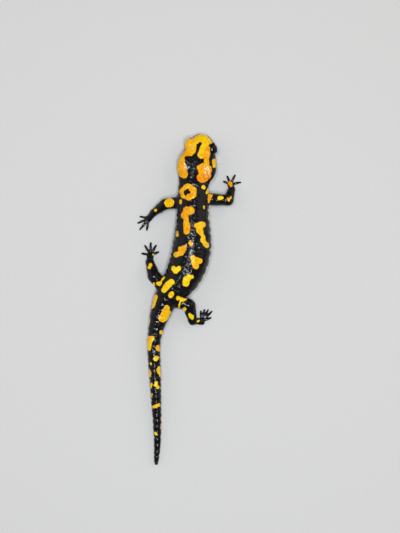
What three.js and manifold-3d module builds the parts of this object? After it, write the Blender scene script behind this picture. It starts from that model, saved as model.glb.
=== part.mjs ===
// Fire salamander, Salamandra salamandra: an adult lying flat, tail out behind, life size.
//
// Millimetres. +Y is towards the head, +X is the animal's right side and +Z is up. The floor is
// z = 0, and the origin is on it under the middle of the animal's outline.

import * as THREE from 'three';
import { mergeVertices } from 'three/addons/utils/BufferGeometryUtils.js';
import Module from 'manifold-3d';

const wasm = await Module();
wasm.setup();

// ------------------------------------------------------------------- driving dimensions

const GAP = 0.3; // between one part and the next
const UP = new THREE.Vector3(0, 0, 1);

// The middle line of head, trunk and tail in plan, from the tip of the snout: x, y.
const SPINE = [
  [8.0, 91.4], [5.4, 78.4], [2.8, 65.3], [2.1, 55.0], [2.1, 43.0], [1.8, 32.0],
  [0.2, 22.4], [-3.6, 13.2], [-8.5, 6.2], [-12.7, 0.6], [-15.6, -6.5], [-17.8, -14.0],
  [-19.3, -22.5], [-18.7, -42.0], [-17.6, -68.0], [-17.5, -78.0], [-18.2, -91.0],
];

// The body's sections: distance back from the snout, half width, height of the widest level,
// height of the back, and height of the underside, which the floor flattens below 0.
const SECTIONS = [
  [0.0, 0.0, 4.9, 4.9, 4.9], [0.12, 1.25, 4.9, 5.7, 4.1], [0.5, 2.4, 4.9, 6.5, 3.3],
  [1.2, 3.6, 4.9, 7.3, 2.6], [2.4, 5.0, 4.9, 8.1, 1.9], [4.0, 6.3, 4.9, 8.9, 1.5],
  [7.0, 7.7, 5.0, 9.8, 1.1], [11.0, 9.0, 5.2, 10.3, 0.9], [15.0, 10.4, 5.4, 10.6, 0.8],
  [18.5, 10.9, 5.5, 10.8, 0.8], [22.0, 10.0, 5.6, 11.0, 0.8], [25.5, 8.8, 5.7, 11.3, 0.9],
  [29.0, 8.3, 5.8, 11.8, 0.8], [34.0, 8.4, 6.0, 12.8, 0.2], [43.0, 8.8, 6.3, 14.4, -0.6],
  [50.0, 9.5, 6.6, 15.4, -0.8], [58.0, 10.4, 6.8, 16.0, -0.9], [64.0, 10.8, 6.8, 16.0, -0.9],
  [72.0, 10.6, 6.7, 15.5, -0.8], [80.0, 9.9, 6.3, 14.4, -0.8], [88.0, 8.3, 5.7, 12.7, -0.7],
  [95.0, 6.8, 5.2, 11.3, -0.6], [101.0, 5.9, 4.9, 10.3, -0.5], [107.0, 5.1, 4.5, 9.5, -0.5],
  [112.0, 4.3, 4.1, 8.8, -0.5], [118.0, 3.8, 3.8, 8.1, -0.4], [140.0, 3.2, 3.2, 6.7, -0.4],
  [160.0, 2.5, 2.5, 5.2, -0.3], [175.0, 1.85, 1.9, 3.9, -0.3], [183.0, 1.5, 1.55, 3.1, -0.2],
  [186.3, 1.15, 1.3, 2.45, 0.0], [187.6, 0.65, 1.25, 1.9, 0.5], [188.1, 0.0, 1.2, 1.2, 1.2],
];
const ROUNDNESS_ABOVE = 2.15; // exponents of the superellipse above and below the widest level
const ROUNDNESS_BELOW = 2.4;

// Where the lengths of the body meet, as distances back from the snout.
const HEAD_END = 25.5;
const NECK_END = 31.5;
const TORSO_END = 98;
const TAIL_ENDS = [121, 144, 167, 188.1];
const TAIL_NAMES = ['tail_base', 'tail_middle', 'tail_rear', 'tail_tip'];
const SNOUT_START = 0.12; // the first ring of the head, as a distance back from the snout
const TIP_BLUNTNESS = 0.02; // from the last ring of the tail to the very end

const COSTAL_GROOVES = { first: 42.5, pitch: 4.05, count: 12, depth: 0.36 };
const TAIL_GROOVES = { first: 101, pitch: 3.4, count: 25, depth: 0.2 };
const GULAR_FOLD = { at: 28.3, width: 0.9, depth: 0.7 };

// Eye, in the head's own places: distance back, distance out, height.
const EYE = { back: 7.2, out: 6.8, height: 7.55, radius: 2.2 };
const LIDS = { out: 6.2, width: 6.6, length: 7.8, depth: 6.1 };
const LID_TURN = THREE.MathUtils.degToRad(14); // the lids' long way turns in towards the snout
const EYE_OPENING = { length: 4.3, height: 3.0 };
const GAZE = { forward: 0.3, up: 0.12 }; // lean of the gaze away from straight out to the side

const NOSTRIL = { back: 1.5, out: 3.1, height: 6.5, radius: 0.36, depth: 0.9 };
const PAROTOID = { back: 18.0, out: 6.8, height: 7.8, length: 13.8, width: 7.4, depth: 6.0 };
const PAROTOID_SPLAY = THREE.MathUtils.degToRad(7);

// The line of the mouth in side view: distance back, height. It ends at its corner.
const MOUTH_LINE = [[0, 4.0], [3, 3.9], [6, 3.65], [9, 3.6], [12, 4.0], [14.2, 4.6]];
const JAW_ANGLE = [17.2, 0.3];
const LIP_RADIUS = 0.55;
const LIP_PROUD = 0.2;
const FRONT_TUCK = 0.15; // how much further in the lips lie at the tip of the snout
const LIP_PLACES = [13.6, 11.5, 9.5, 7.5, 5.5, 3.8, 2.4, 1.4, 0.8]; // distances back

const CLOACA = { back: 101.5, length: 5.5, width: 0.9, depth: 0.8 };

// Joints of each limb: x, y, height. The root lies inside the trunk, and the tips are those of
// the digits from the innermost one out.
const ARMS = {
  left: {
    root: [-2.6, 54.2, 7.0], elbow: [-13.0, 53.1, 5.2], wrist: [-19.6, 48.4, 2.3],
    palm: [-22.2, 45.4, 1.0],
    tips: [[-27.0, 46.4], [-28.3, 42.9], [-27.1, 39.4], [-23.4, 39.0]],
  },
  right: {
    root: [7.4, 55.9, 7.0], elbow: [21.5, 55.2, 5.4], wrist: [23.5, 61.2, 2.3],
    palm: [23.0, 64.2, 1.0],
    tips: [[19.2, 65.8], [21.2, 68.7], [25.4, 69.3], [28.4, 65.4]],
  },
};
const LEGS = {
  left: {
    root: [-10.8, 4.6, 6.3], elbow: [-19.2, 13.3, 5.8], wrist: [-21.6, 21.0, 2.5],
    palm: [-21.4, 25.2, 1.1],
    tips: [[-16.9, 26.8], [-18.3, 30.4], [-21.2, 31.7], [-24.3, 30.2], [-26.0, 26.0]],
  },
  right: {
    root: [-9.6, 1.4, 6.3], elbow: [0.1, -2.6, 5.9], wrist: [1.9, -11.2, 2.5],
    palm: [6.9, -11.6, 1.1],
    tips: [[6.5, -6.0], [8.5, -5.3], [10.5, -5.4], [12.5, -6.2], [12.0, -9.6]],
  },
};
// Radii at the root, half way, at the elbow or knee, half way, and at the wrist or ankle.
const ARM_RADII = [3.6, 3.35, 2.8, 2.6, 1.9];
const LEG_RADII = [4.2, 3.9, 3.3, 3.1, 2.3];
// Half widths and half heights of hand and foot, and the radii of a digit at its root and tip.
const HAND = { width: 1.9, height: 1.05, digit: 0.74, digitTip: 0.5 };
const FOOT = { width: 2.0, height: 1.15, digit: 0.8, digitTip: 0.52 };

// ------------------------------------------------------------------- meshes and solids

// A closed solid of rings of points, all with the same count, each end closed round one point.
function skinOver(rings, firstPole, lastPole) {
  const around = rings[0].length;
  const points = [...rings.flat(), firstPole, lastPole];
  const first = points.length - 2;
  const last = points.length - 1;
  const faces = [];
  for (let i = 0; i < rings.length; i += 1) {
    for (let j = 0; j < around; j += 1) {
      const here = i * around + j;
      const beside = i * around + ((j + 1) % around);
      if (i === 0) faces.push(first, beside, here);
      if (i === rings.length - 1) faces.push(last, here, beside);
      else faces.push(here, beside, beside + around, here, beside + around, here + around);
    }
  }
  const geometry = new THREE.BufferGeometry().setFromPoints(points);
  geometry.setIndex(faces);
  return geometry;
}

// A three.js geometry as a solid whose faces point out.
function solid(geometry) {
  const bare = geometry.clone();
  bare.deleteAttribute('normal');
  bare.deleteAttribute('uv');
  const merged = mergeVertices(bare, 1e-5);
  const build = () => new wasm.Manifold(new wasm.Mesh({
    numProp: 3,
    vertProperties: new Float32Array(merged.attributes.position.array),
    triVerts: new Uint32Array(merged.index.array),
  }));
  const made = build();
  if (made.volume() > 0) return made;
  merged.index.array.reverse();
  return build();
}

function join(solids) {
  return solids.reduce((sum, next) => sum.add(next));
}

// The largest closed piece of a solid.
function largest(whole) {
  const pieces = whole.decompose();
  return pieces.reduce((best, next) => (next.volume() > best.volume() ? next : best));
}

// The half of a solid that lies on the side of a plane towards which its normal points.
function beyond(whole, point, normal, clearance = GAP / 2) {
  return whole.trimByPlane(normal.toArray(), point.dot(normal) + clearance);
}

function aboveFloor(whole) {
  return whole.trimByPlane(UP.toArray(), 0);
}

function named(name, whole, material) {
  const { vertProperties, triVerts } = largest(whole).getMesh();
  const geometry = new THREE.BufferGeometry();
  geometry.setAttribute('position', new THREE.BufferAttribute(vertProperties, 3));
  geometry.setIndex(new THREE.BufferAttribute(triVerts, 1));
  geometry.computeVertexNormals();
  const mesh = new THREE.Mesh(geometry, material);
  mesh.name = name;
  return mesh;
}

// ------------------------------------------------------------------- the body's form

// The value of one column of the sections, eased from row to row without overshooting.
function eased(column, distance) {
  const rows = SECTIONS;
  const last = rows.length - 1;
  if (distance <= rows[0][0]) return rows[0][column];
  if (distance >= rows[last][0]) return rows[last][column];
  const i = rows.findIndex((row) => row[0] > distance) - 1;
  const rise = (k) => (rows[k + 1][column] - rows[k][column]) / (rows[k + 1][0] - rows[k][0]);
  const slope = (k) => {
    if (k === 0) return rise(0);
    if (k === last) return rise(last - 1);
    const before = rise(k - 1);
    const after = rise(k);
    return before * after > 0 ? (2 * before * after) / (before + after) : 0;
  };
  const span = rows[i + 1][0] - rows[i][0];
  const t = (distance - rows[i][0]) / span;
  const leave = span * slope(i);
  const arrive = span * slope(i + 1);
  const change = rows[i + 1][column] - rows[i][column];
  return rows[i][column] + leave * t + (3 * change - 2 * leave - arrive) * t * t
    + (leave + arrive - 2 * change) * t * t * t;
}

const spine = new THREE.CatmullRomCurve3(SPINE.map(([x, y]) => new THREE.Vector3(x, y, 0)));
spine.arcLengthDivisions = 1200;
const BODY_LENGTH = SECTIONS.at(-1)[0];

// The body's own axes at a distance back from the snout: right, forward and up.
function frameAt(distance) {
  const u = Math.min(distance / BODY_LENGTH, 1);
  const forward = spine.getTangentAt(u).negate();
  const right = new THREE.Vector3(forward.y, -forward.x, 0);
  return new THREE.Matrix4().makeBasis(right, forward, UP).setPosition(spine.getPointAt(u));
}

// Turn in plan of the body's own forward axis.
function headingAt(distance) {
  return planTurn(new THREE.Vector3().setFromMatrixColumn(frameAt(distance), 1));
}

function bodyPoint(back, out, height) {
  return new THREE.Vector3(out, 0, height).applyMatrix4(frameAt(back));
}

// The depth of a row of grooves at a distance back from the snout: 0 between the grooves.
function grooveDepth(row, distance) {
  const turn = (distance - row.first) / row.pitch;
  if (turn < -0.5 || turn > row.count - 0.5) return 0;
  return row.depth * (0.5 + 0.5 * Math.cos(2 * Math.PI * turn)) ** 3;
}

// One section of the body, grown outwards by an offset.
function bodyRing(distance, around, offset) {
  const half = eased(1, distance) + offset;
  const middle = eased(2, distance);
  const above = eased(3, distance) - middle + offset;
  const below = middle - eased(4, distance) + offset;
  const costal = grooveDepth(COSTAL_GROOVES, distance);
  const annular = grooveDepth(TAIL_GROOVES, distance);
  const fromFold = (distance - GULAR_FOLD.at) / GULAR_FOLD.width;
  const fold = GULAR_FOLD.depth * Math.exp(-fromFold * fromFold);
  const floor = offset > 0 ? -offset : 0;
  const frame = frameAt(distance);
  return Array.from({ length: around }, (_, j) => {
    const angle = (2 * Math.PI * (j + 0.5)) / around;
    const side = Math.cos(angle);
    const lift = Math.sin(angle);
    const power = 2 / (lift > 0 ? ROUNDNESS_ABOVE : ROUNDNESS_BELOW);
    const inset = costal * side ** 2 * (1 - 0.4 * Math.max(lift, 0)) + annular
      + fold * Math.max(0, 0.35 - lift);
    const x = (half - inset) * Math.sign(side) * Math.abs(side) ** power;
    const reach = (lift > 0 ? above : below) - (lift > 0 ? annular : fold);
    const z = middle + reach * Math.sign(lift) * Math.abs(lift) ** power;
    return new THREE.Vector3(x, 0, Math.max(z, floor)).applyMatrix4(frame);
  });
}

// A length of the body between two distances, with rings at the given places between them.
function bodyLength(from, to, around, places, offset = 0) {
  const inside = places.filter((place) => place > from + 0.05 && place < to - 0.05);
  const stations = [from, ...inside, to];
  const rings = stations.map((place) => bodyRing(place, around, offset));
  const pole = (place) => {
    const low = Math.max(eased(4, place), 0);
    return bodyPoint(place, 0, (eased(3, place) + low) / 2);
  };
  return solid(skinOver(rings, pole(from), pole(to)));
}

// Places for rings: the middle of each groove of a row, and its brims or the crest after it.
function groovePlaces(row, brim) {
  const offsets = brim ? [0, brim, row.pitch - brim] : [0, row.pitch / 2];
  const places = [];
  for (let k = 0; k < row.count; k += 1) {
    places.push(...offsets.map((offset) => row.first + k * row.pitch + offset));
  }
  return places;
}

// Half the body's width at a height, at a distance back from the snout.
function halfWidthAt(distance, height) {
  const middle = eased(2, distance);
  const reach = height > middle ? eased(3, distance) - middle : middle - eased(4, distance);
  const power = height > middle ? ROUNDNESS_ABOVE : ROUNDNESS_BELOW;
  const share = Math.min(Math.abs(height - middle) / reach, 1);
  return eased(1, distance) * (1 - share ** power) ** (1 / power);
}

// ------------------------------------------------------------------- tubes and digits

// A tube along a smooth line through points, with a round end beyond each end of the line. Its
// sections are spread evenly along it, each a half width and a half height.
function tube(points, sections, around, steps) {
  const line = new THREE.CatmullRomCurve3(points);
  const sizeAt = (t, which) => {
    const place = t * (sections.length - 1);
    const k = Math.min(Math.floor(place), sections.length - 2);
    return THREE.MathUtils.lerp(sections[k][which], sections[k + 1][which], place - k);
  };
  const ring = (t, ahead, shrink) => {
    const along = line.getTangentAt(t);
    const side = new THREE.Vector3().crossVectors(along, UP).normalize();
    const lift = new THREE.Vector3().crossVectors(side, along);
    const middle = line.getPointAt(t).addScaledVector(along, ahead);
    return Array.from({ length: around }, (_, j) => {
      const angle = (2 * Math.PI * (j + 0.5)) / around;
      return middle.clone()
        .addScaledVector(side, sizeAt(t, 0) * shrink * Math.cos(angle))
        .addScaledVector(lift, sizeAt(t, 1) * shrink * Math.sin(angle));
    });
  };
  const startTurn = Math.PI / 4;
  const endTurns = [Math.PI / 7, Math.PI / 3.2];
  const startReach = sections[0][0];
  const endReach = sections.at(-1)[0];
  const rings = [
    ring(0, -startReach * Math.sin(startTurn), Math.cos(startTurn)),
    ...Array.from({ length: steps + 1 }, (_, k) => ring(k / steps, 0, 1)),
    ...endTurns.map((turn) => ring(1, endReach * Math.sin(turn), Math.cos(turn))),
  ];
  const firstPole = line.getPointAt(0).addScaledVector(line.getTangentAt(0), -startReach);
  const lastPole = line.getPointAt(1).addScaledVector(line.getTangentAt(1), endReach);
  return solid(skinOver(rings, firstPole, lastPole));
}

const round = (radii) => radii.map((radius) => [radius, radius]);

// Faces round and along each kind of tube, and round and up each kind of ellipsoid.
const LIMB_FACES = [12, 4];
const DIGIT_FACES = [7, 3];
const LIP_FACES = [6, 18];
const LID_FACES = [18, 11];
const GLAND_FACES = [16, 12];
const EYE_FACES = [14, 10];
const CLOACA_FACES = [8, 8];

// An ellipsoid of full sizes across, along and up, turned in plan.
function ellipsoid(size, middle, turn, columns, rows) {
  const geometry = new THREE.SphereGeometry(0.5, columns, rows);
  geometry.rotateX(Math.PI / 2);
  geometry.scale(...size);
  geometry.rotateZ(turn);
  geometry.translate(...middle.toArray());
  return solid(geometry);
}

const vector = ([x, y, z]) => new THREE.Vector3(x, y, z);

// Turn in plan that takes +Y to a direction.
function planTurn(direction) {
  return Math.atan2(-direction.x, direction.y);
}

// ------------------------------------------------------------------- head

function headForm() {
  const skull = bodyLength(SNOUT_START, HEAD_END - GAP / 2, HEAD_AROUND, HEAD_PLACES);
  const additions = [];
  for (const side of [-1, 1]) {
    const lidsMiddle = bodyPoint(EYE.back, side * LIDS.out, EYE.height);
    const lidsTurn = headingAt(EYE.back) - side * LID_TURN;
    const lidsSize = [LIDS.width, LIDS.length, LIDS.depth];
    additions.push(ellipsoid(lidsSize, lidsMiddle, lidsTurn, ...LID_FACES));
    const glandSize = [PAROTOID.width, PAROTOID.length, PAROTOID.depth];
    const glandMiddle = bodyPoint(PAROTOID.back, side * PAROTOID.out, PAROTOID.height);
    const glandTurn = headingAt(PAROTOID.back) + side * PAROTOID_SPLAY;
    additions.push(ellipsoid(glandSize, glandMiddle, glandTurn, ...GLAND_FACES));
  }
  return join([skull, ...additions, lip(LIP_RADIUS), lip(-LIP_RADIUS)]);
}

// Height of the line of the mouth at a distance back from the snout.
function mouthHeight(distance) {
  const k = Math.min(MOUTH_LINE.findIndex(([back]) => back > distance) - 1, MOUTH_LINE.length - 2);
  const [back0, height0] = MOUTH_LINE[k];
  const [back1, height1] = MOUTH_LINE[k + 1];
  return height0 + ((height1 - height0) * (distance - back0)) / (back1 - back0);
}

// A lip: a roll round the snout from one corner of the mouth to the other, over or under its line.
function lip(over) {
  const sunk = LIP_RADIUS - LIP_PROUD;
  const height = (back) => mouthHeight(back) + over;
  const half = (back) => halfWidthAt(back, height(back)) - sunk;
  const onSide = (side) => LIP_PLACES.map((back) => bodyPoint(back, side * half(back), height(back)));
  const front = bodyPoint(sunk + FRONT_TUCK, 0, height(0));
  const radii = [0.6, 1, 1, 1, 0.6].map((share) => share * LIP_RADIUS);
  return tube([...onSide(-1), front, ...onSide(1).reverse()], round(radii), ...LIP_FACES);
}

// Everything below the line of the mouth and ahead of the angle of the jaw, as a slab that is
// wider than the head and starts ahead of the snout and under the floor.
function jawRegion(clearance) {
  const outline = new THREE.Shape();
  const line = MOUTH_LINE.map(([back, height]) => new THREE.Vector2(-back, height + clearance));
  const ahead = 3;
  const under = -1;
  const depth = 30;
  outline.moveTo(ahead, line[0].y);
  outline.lineTo(line[0].x, line[0].y);
  outline.splineThru(line.slice(1));
  outline.lineTo(line.at(-1).x - clearance, line.at(-1).y - clearance);
  outline.lineTo(-JAW_ANGLE[0] - clearance, JAW_ANGLE[1]);
  outline.lineTo(-JAW_ANGLE[0] - clearance, under);
  outline.lineTo(ahead, under);
  const slab = new THREE.ExtrudeGeometry(outline, { depth, bevelEnabled: false, curveSegments: 12 });
  const profileAxes = new THREE.Matrix4().makeBasis(
    new THREE.Vector3(0, 1, 0), UP, new THREE.Vector3(1, 0, 0),
  );
  slab.translate(0, 0, -depth / 2);
  slab.applyMatrix4(profileAxes);
  slab.applyMatrix4(frameAt(0));
  return solid(slab);
}

// What the lids leave open: an almond seen along the gaze, from inside the eye outwards.
function eyeOpening(side) {
  const reach = 6;
  const half = EYE_OPENING.length / 2;
  const almond = new THREE.Shape();
  almond.moveTo(-half, 0);
  almond.quadraticCurveTo(0, EYE_OPENING.height, half, 0);
  almond.quadraticCurveTo(0, -EYE_OPENING.height, -half, 0);
  const options = { depth: reach, bevelEnabled: false, curveSegments: 8 };
  const through = new THREE.ExtrudeGeometry(almond, options);
  const gaze = new THREE.Vector3(side, GAZE.forward, GAZE.up).normalize();
  const along = new THREE.Vector3().crossVectors(UP, gaze).normalize();
  const lift = new THREE.Vector3().crossVectors(gaze, along);
  through.applyMatrix4(new THREE.Matrix4().makeBasis(along, lift, gaze));
  through.translate(side * EYE.out, 0, EYE.height);
  through.applyMatrix4(frameAt(EYE.back));
  return solid(through);
}

function eyeBall(side, radius) {
  const width = 2 * radius;
  const middle = bodyPoint(EYE.back, side * EYE.out, EYE.height);
  return ellipsoid([width, width, width], middle, 0, ...EYE_FACES);
}

function nostril(side) {
  const bore = new THREE.CylinderGeometry(NOSTRIL.radius, NOSTRIL.radius / 2, 2 * NOSTRIL.depth, 8);
  const out = new THREE.Vector3(side, 1, 0.35).normalize();
  bore.applyQuaternion(new THREE.Quaternion().setFromUnitVectors(new THREE.Vector3(0, 1, 0), out));
  bore.translate(side * NOSTRIL.out, 0, NOSTRIL.height);
  bore.applyMatrix4(frameAt(NOSTRIL.back));
  return solid(bore);
}

function buildHead(skin, eyeMaterial) {
  let form = headForm();
  for (const side of [-1, 1]) {
    const socket = eyeBall(side, EYE.radius + GAP);
    form = form.subtract(socket).subtract(eyeOpening(side)).subtract(nostril(side));
  }
  return [
    named('head', form.subtract(jawRegion(GAP)), skin),
    named('lower_jaw', form.intersect(jawRegion(0)), skin),
    named('left_eye', eyeBall(-1, EYE.radius), eyeMaterial),
    named('right_eye', eyeBall(1, EYE.radius), eyeMaterial),
  ];
}

// ------------------------------------------------------------------- neck, torso and tail

const HEAD_AROUND = 32; // points round each ring
const TRUNK_AROUND = 28;
const TAIL_AROUND = 18;
const HEAD_PLACES = [0.5, 1.2, 2.2, 3.6, 5.2, 7, 9, 11, 13, 15.2, 17.4, 19.6, 21.8, 23.8];
const NECK_PLACES = [26.8, 27.5, GULAR_FOLD.at, 29.1, 29.9];
const TORSO_PLACES = [34, 37, 40, ...groovePlaces(COSTAL_GROOVES, 1.05), 93, 95.5];
const TAIL_PLACES = [...groovePlaces(TAIL_GROOVES, 0), 186.5, 187.4, 187.9];

function buildTrunk(skin) {
  const half = GAP / 2;
  const neck = bodyLength(HEAD_END + half, NECK_END - half, TRUNK_AROUND, NECK_PLACES);
  const torso = bodyLength(NECK_END + half, TORSO_END - half, TRUNK_AROUND, TORSO_PLACES);
  return [named('neck', neck, skin), named('torso', torso, skin)];
}

function buildTail(skin) {
  const half = GAP / 2;
  const slit = ellipsoid(
    [CLOACA.width, CLOACA.length, 2 * CLOACA.depth],
    bodyPoint(CLOACA.back, 0, 0),
    headingAt(CLOACA.back),
    ...CLOACA_FACES,
  );
  return TAIL_NAMES.map((name, k) => {
    const from = (k === 0 ? TORSO_END : TAIL_ENDS[k - 1]) + half;
    const isTip = k === TAIL_NAMES.length - 1;
    const to = isTip ? BODY_LENGTH - TIP_BLUNTNESS : TAIL_ENDS[k] - half;
    const length = bodyLength(from, to, TAIL_AROUND, TAIL_PLACES);
    return named(name, k === 0 ? length.subtract(slit) : length, skin);
  });
}

// ------------------------------------------------------------------- limbs

// One limb: upper part, lower part, and hand or foot, parted across the elbow and the wrist.
function buildLimb(limb, radii, paw, trunk, names, skin) {
  const root = vector(limb.root);
  const elbow = vector(limb.elbow);
  const wrist = vector(limb.wrist);
  const palm = vector(limb.palm);
  const upper = tube([root, elbow], round(radii.slice(0, 3)), ...LIMB_FACES);
  const lower = tube([elbow, wrist], round(radii.slice(2)), ...LIMB_FACES);
  const sole = [[radii[4], radii[4]], [paw.width * 0.9, paw.height * 1.2], [paw.width, paw.height]];
  const pad = tube([wrist, palm], sole, ...LIMB_FACES);
  const digits = limb.tips.map(([x, y]) => {
    const tip = new THREE.Vector3(x, y, paw.digitTip * 0.7);
    const start = palm.clone().lerp(tip, 0.12).setZ(paw.digit * 0.8);
    const knuckle = palm.clone().lerp(tip, 0.62).setZ(paw.digit * 1.05);
    const swell = [paw.digit, paw.digit * 0.9, paw.digitTip];
    return tube([start, knuckle, tip], round(swell), ...DIGIT_FACES);
  });
  const pawAxis = palm.clone().sub(wrist).normalize();
  const elbowPlane = elbow.clone().sub(root).normalize()
    .add(wrist.clone().sub(elbow).normalize()).normalize();
  const wristPlane = wrist.clone().sub(elbow).normalize().add(pawAxis).normalize();
  const arm = upper.add(lower);
  const upperPart = beyond(arm, elbow, elbowPlane.clone().negate()).subtract(trunk);
  const lowerWhole = aboveFloor(beyond(join([arm, pad]), elbow, elbowPlane));
  const lowerPart = beyond(lowerWhole, wrist, wristPlane.clone().negate());
  const pawWhole = aboveFloor(join([lower, pad, ...digits]));
  const pawPart = beyond(pawWhole, wrist, wristPlane);
  return [upperPart, lowerPart, pawPart].map((part, k) => named(names[k], part, skin));
}

function buildLimbs(skin) {
  const trunk = bodyLength(NECK_END - 1, TORSO_END + 1, TRUNK_AROUND, TORSO_PLACES, GAP);
  const meshes = [];
  for (const side of ['left', 'right']) {
    const armNames = [`${side}_upper_arm`, `${side}_forearm`, `${side}_hand`];
    const legNames = [`${side}_thigh`, `${side}_shin`, `${side}_foot`];
    meshes.push(...buildLimb(ARMS[side], ARM_RADII, HAND, trunk, armNames, skin));
    meshes.push(...buildLimb(LEGS[side], LEG_RADII, FOOT, trunk, legNames, skin));
  }
  return meshes;
}

// ------------------------------------------------------------------- the whole animal

const black = new THREE.MeshStandardMaterial({ color: 0x17141a, roughness: 0.3, metalness: 0 });
const yellow = new THREE.MeshStandardMaterial({ color: 0xf2b312, roughness: 0.35, metalness: 0 });
const eye = new THREE.MeshStandardMaterial({ color: 0x060505, roughness: 0.08, metalness: 0 });

const salamander = new THREE.Group();
salamander.name = 'fire_salamander';
salamander.add(...buildHead(yellow, eye));
salamander.add(...buildTrunk(black));
salamander.add(...buildTail(black));
salamander.add(...buildLimbs(black));

export default salamander;
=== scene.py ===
"""Fire salamander: one skin over the whole body, two eyes, and the stage they are seen on."""

import math

import bpy
import numpy as np
import openvdb as vdb
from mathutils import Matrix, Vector


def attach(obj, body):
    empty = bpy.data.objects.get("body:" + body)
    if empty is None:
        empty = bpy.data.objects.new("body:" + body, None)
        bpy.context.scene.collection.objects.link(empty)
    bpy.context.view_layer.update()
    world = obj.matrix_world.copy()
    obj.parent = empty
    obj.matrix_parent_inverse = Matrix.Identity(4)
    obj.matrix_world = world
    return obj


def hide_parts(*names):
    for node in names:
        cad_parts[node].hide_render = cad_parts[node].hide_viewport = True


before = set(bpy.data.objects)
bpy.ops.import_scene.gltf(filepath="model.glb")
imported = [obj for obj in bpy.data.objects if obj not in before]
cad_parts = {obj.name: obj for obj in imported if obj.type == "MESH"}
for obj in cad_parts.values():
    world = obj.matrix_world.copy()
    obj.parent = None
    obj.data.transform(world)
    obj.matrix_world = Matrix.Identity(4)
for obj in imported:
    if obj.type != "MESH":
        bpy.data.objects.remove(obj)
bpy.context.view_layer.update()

MM = 0.001

# ---- sizes, in millimetres; those of the body, head and limbs are the solids' own

SPINE = np.array([
    (8.0, 91.4), (5.4, 78.4), (2.8, 65.3), (2.1, 55.0), (2.1, 43.0), (1.8, 32.0),
    (0.2, 22.4), (-3.6, 13.2), (-8.5, 6.2), (-12.7, 0.6), (-15.6, -6.5), (-17.8, -14.0),
    (-19.3, -22.5), (-18.7, -42.0), (-17.6, -68.0), (-17.5, -78.0), (-18.2, -91.0),
])
# Back from the snout, half width, widest level, top, bottom.
SECTIONS = np.array([
    (0.0, 0.0, 4.9, 4.9, 4.9), (0.12, 1.25, 4.9, 5.7, 4.1), (0.5, 2.4, 4.9, 6.5, 3.3),
    (1.2, 3.6, 4.9, 7.3, 2.6), (2.4, 5.0, 4.9, 8.1, 1.9), (4.0, 6.3, 4.9, 8.9, 1.5),
    (7.0, 7.7, 5.0, 9.8, 1.1), (11.0, 9.0, 5.2, 10.3, 0.9), (15.0, 10.4, 5.4, 10.6, 0.8),
    (18.5, 10.9, 5.5, 10.8, 0.8), (22.0, 10.0, 5.6, 11.0, 0.8), (25.5, 8.8, 5.7, 11.3, 0.9),
    (29.0, 8.3, 5.8, 11.8, 0.8), (34.0, 8.4, 6.0, 12.8, 0.2), (43.0, 8.8, 6.3, 14.4, -0.6),
    (50.0, 9.5, 6.6, 15.4, -0.8), (58.0, 10.4, 6.8, 16.0, -0.9), (64.0, 10.8, 6.8, 16.0, -0.9),
    (72.0, 10.6, 6.7, 15.5, -0.8), (80.0, 9.9, 6.3, 14.4, -0.8), (88.0, 8.3, 5.7, 12.7, -0.7),
    (95.0, 6.8, 5.2, 11.3, -0.6), (101.0, 5.9, 4.9, 10.3, -0.5), (107.0, 5.1, 4.5, 9.5, -0.5),
    (112.0, 4.3, 4.1, 8.8, -0.5), (118.0, 3.8, 3.8, 8.1, -0.4), (140.0, 3.2, 3.2, 6.7, -0.4),
    (160.0, 2.5, 2.5, 5.2, -0.3), (175.0, 1.85, 1.9, 3.9, -0.3), (183.0, 1.5, 1.55, 3.1, -0.2),
    (186.3, 1.15, 1.3, 2.45, 0.0), (187.6, 0.65, 1.25, 1.9, 0.5), (188.1, 0.0, 1.2, 1.2, 1.2),
])
HALF, WIDEST, TOP, BOTTOM = 1, 2, 3, 4  # the sections' columns
ROUND_ABOVE, ROUND_BELOW = 2.15, 2.4  # powers of the sections' outlines
BODY_LENGTH = 188.1
BODY_AROUND = 144  # points round each section of the mesh
COSTAL = {"first": 42.5, "pitch": 4.05, "count": 12, "depth": 0.36}
ANNULAR = {"first": 101.0, "pitch": 3.4, "count": 25, "depth": 0.2}
GROOVE_POWER = 3  # the greater, the narrower each groove
OVER_BACK = 0.4  # share of a rib groove's depth that is lost over the back
GULAR_FOLD = {"at": 28.3, "width": 0.9, "depth": 0.7, "top": 0.35}
BELOW_FLOOR = -0.4  # how far down the body's mesh goes before the floor cuts it off

EYE = {"back": 7.2, "out": 6.8, "height": 7.55, "radius": 2.2}
LIDS = dict(EYE, out=6.2, size=(6.6, 7.8, 6.1), turn=-14.0, reach=7, blend=1.0)
PAROTOID = {"back": 18.0, "out": 6.8, "height": 7.8, "size": (7.4, 13.8, 6.0), "turn": 7.0,
            "reach": 10, "blend": 1.1}
OPENING = {"length": 4.3, "height": 3.0, "front": 0.4, "reach": 4.0, "blend": 0.16}
GAZE = {"forward": 0.3, "up": 0.12}
LID = {"thick": 0.34, "brow": 0.14, "upper_roll": 0.3, "lower_roll": 0.2, "margin": 0.1,
       "steps": 41, "room": 4.8, "reach": 3.8, "blend": 0.3}
SOCKET = {"slack": 0.05, "reach": 3.0, "blend": 0.06}
EYEBALL = {"slack": 0.02, "bulge": 0.12, "bulge_width": 0.62, "rows": 64, "around": 96}
NOSTRIL = {"back": 1.5, "out": 3.1, "height": 6.5, "facing": (0.75, 0.6, 0.35), "reach": 2.0}
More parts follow.
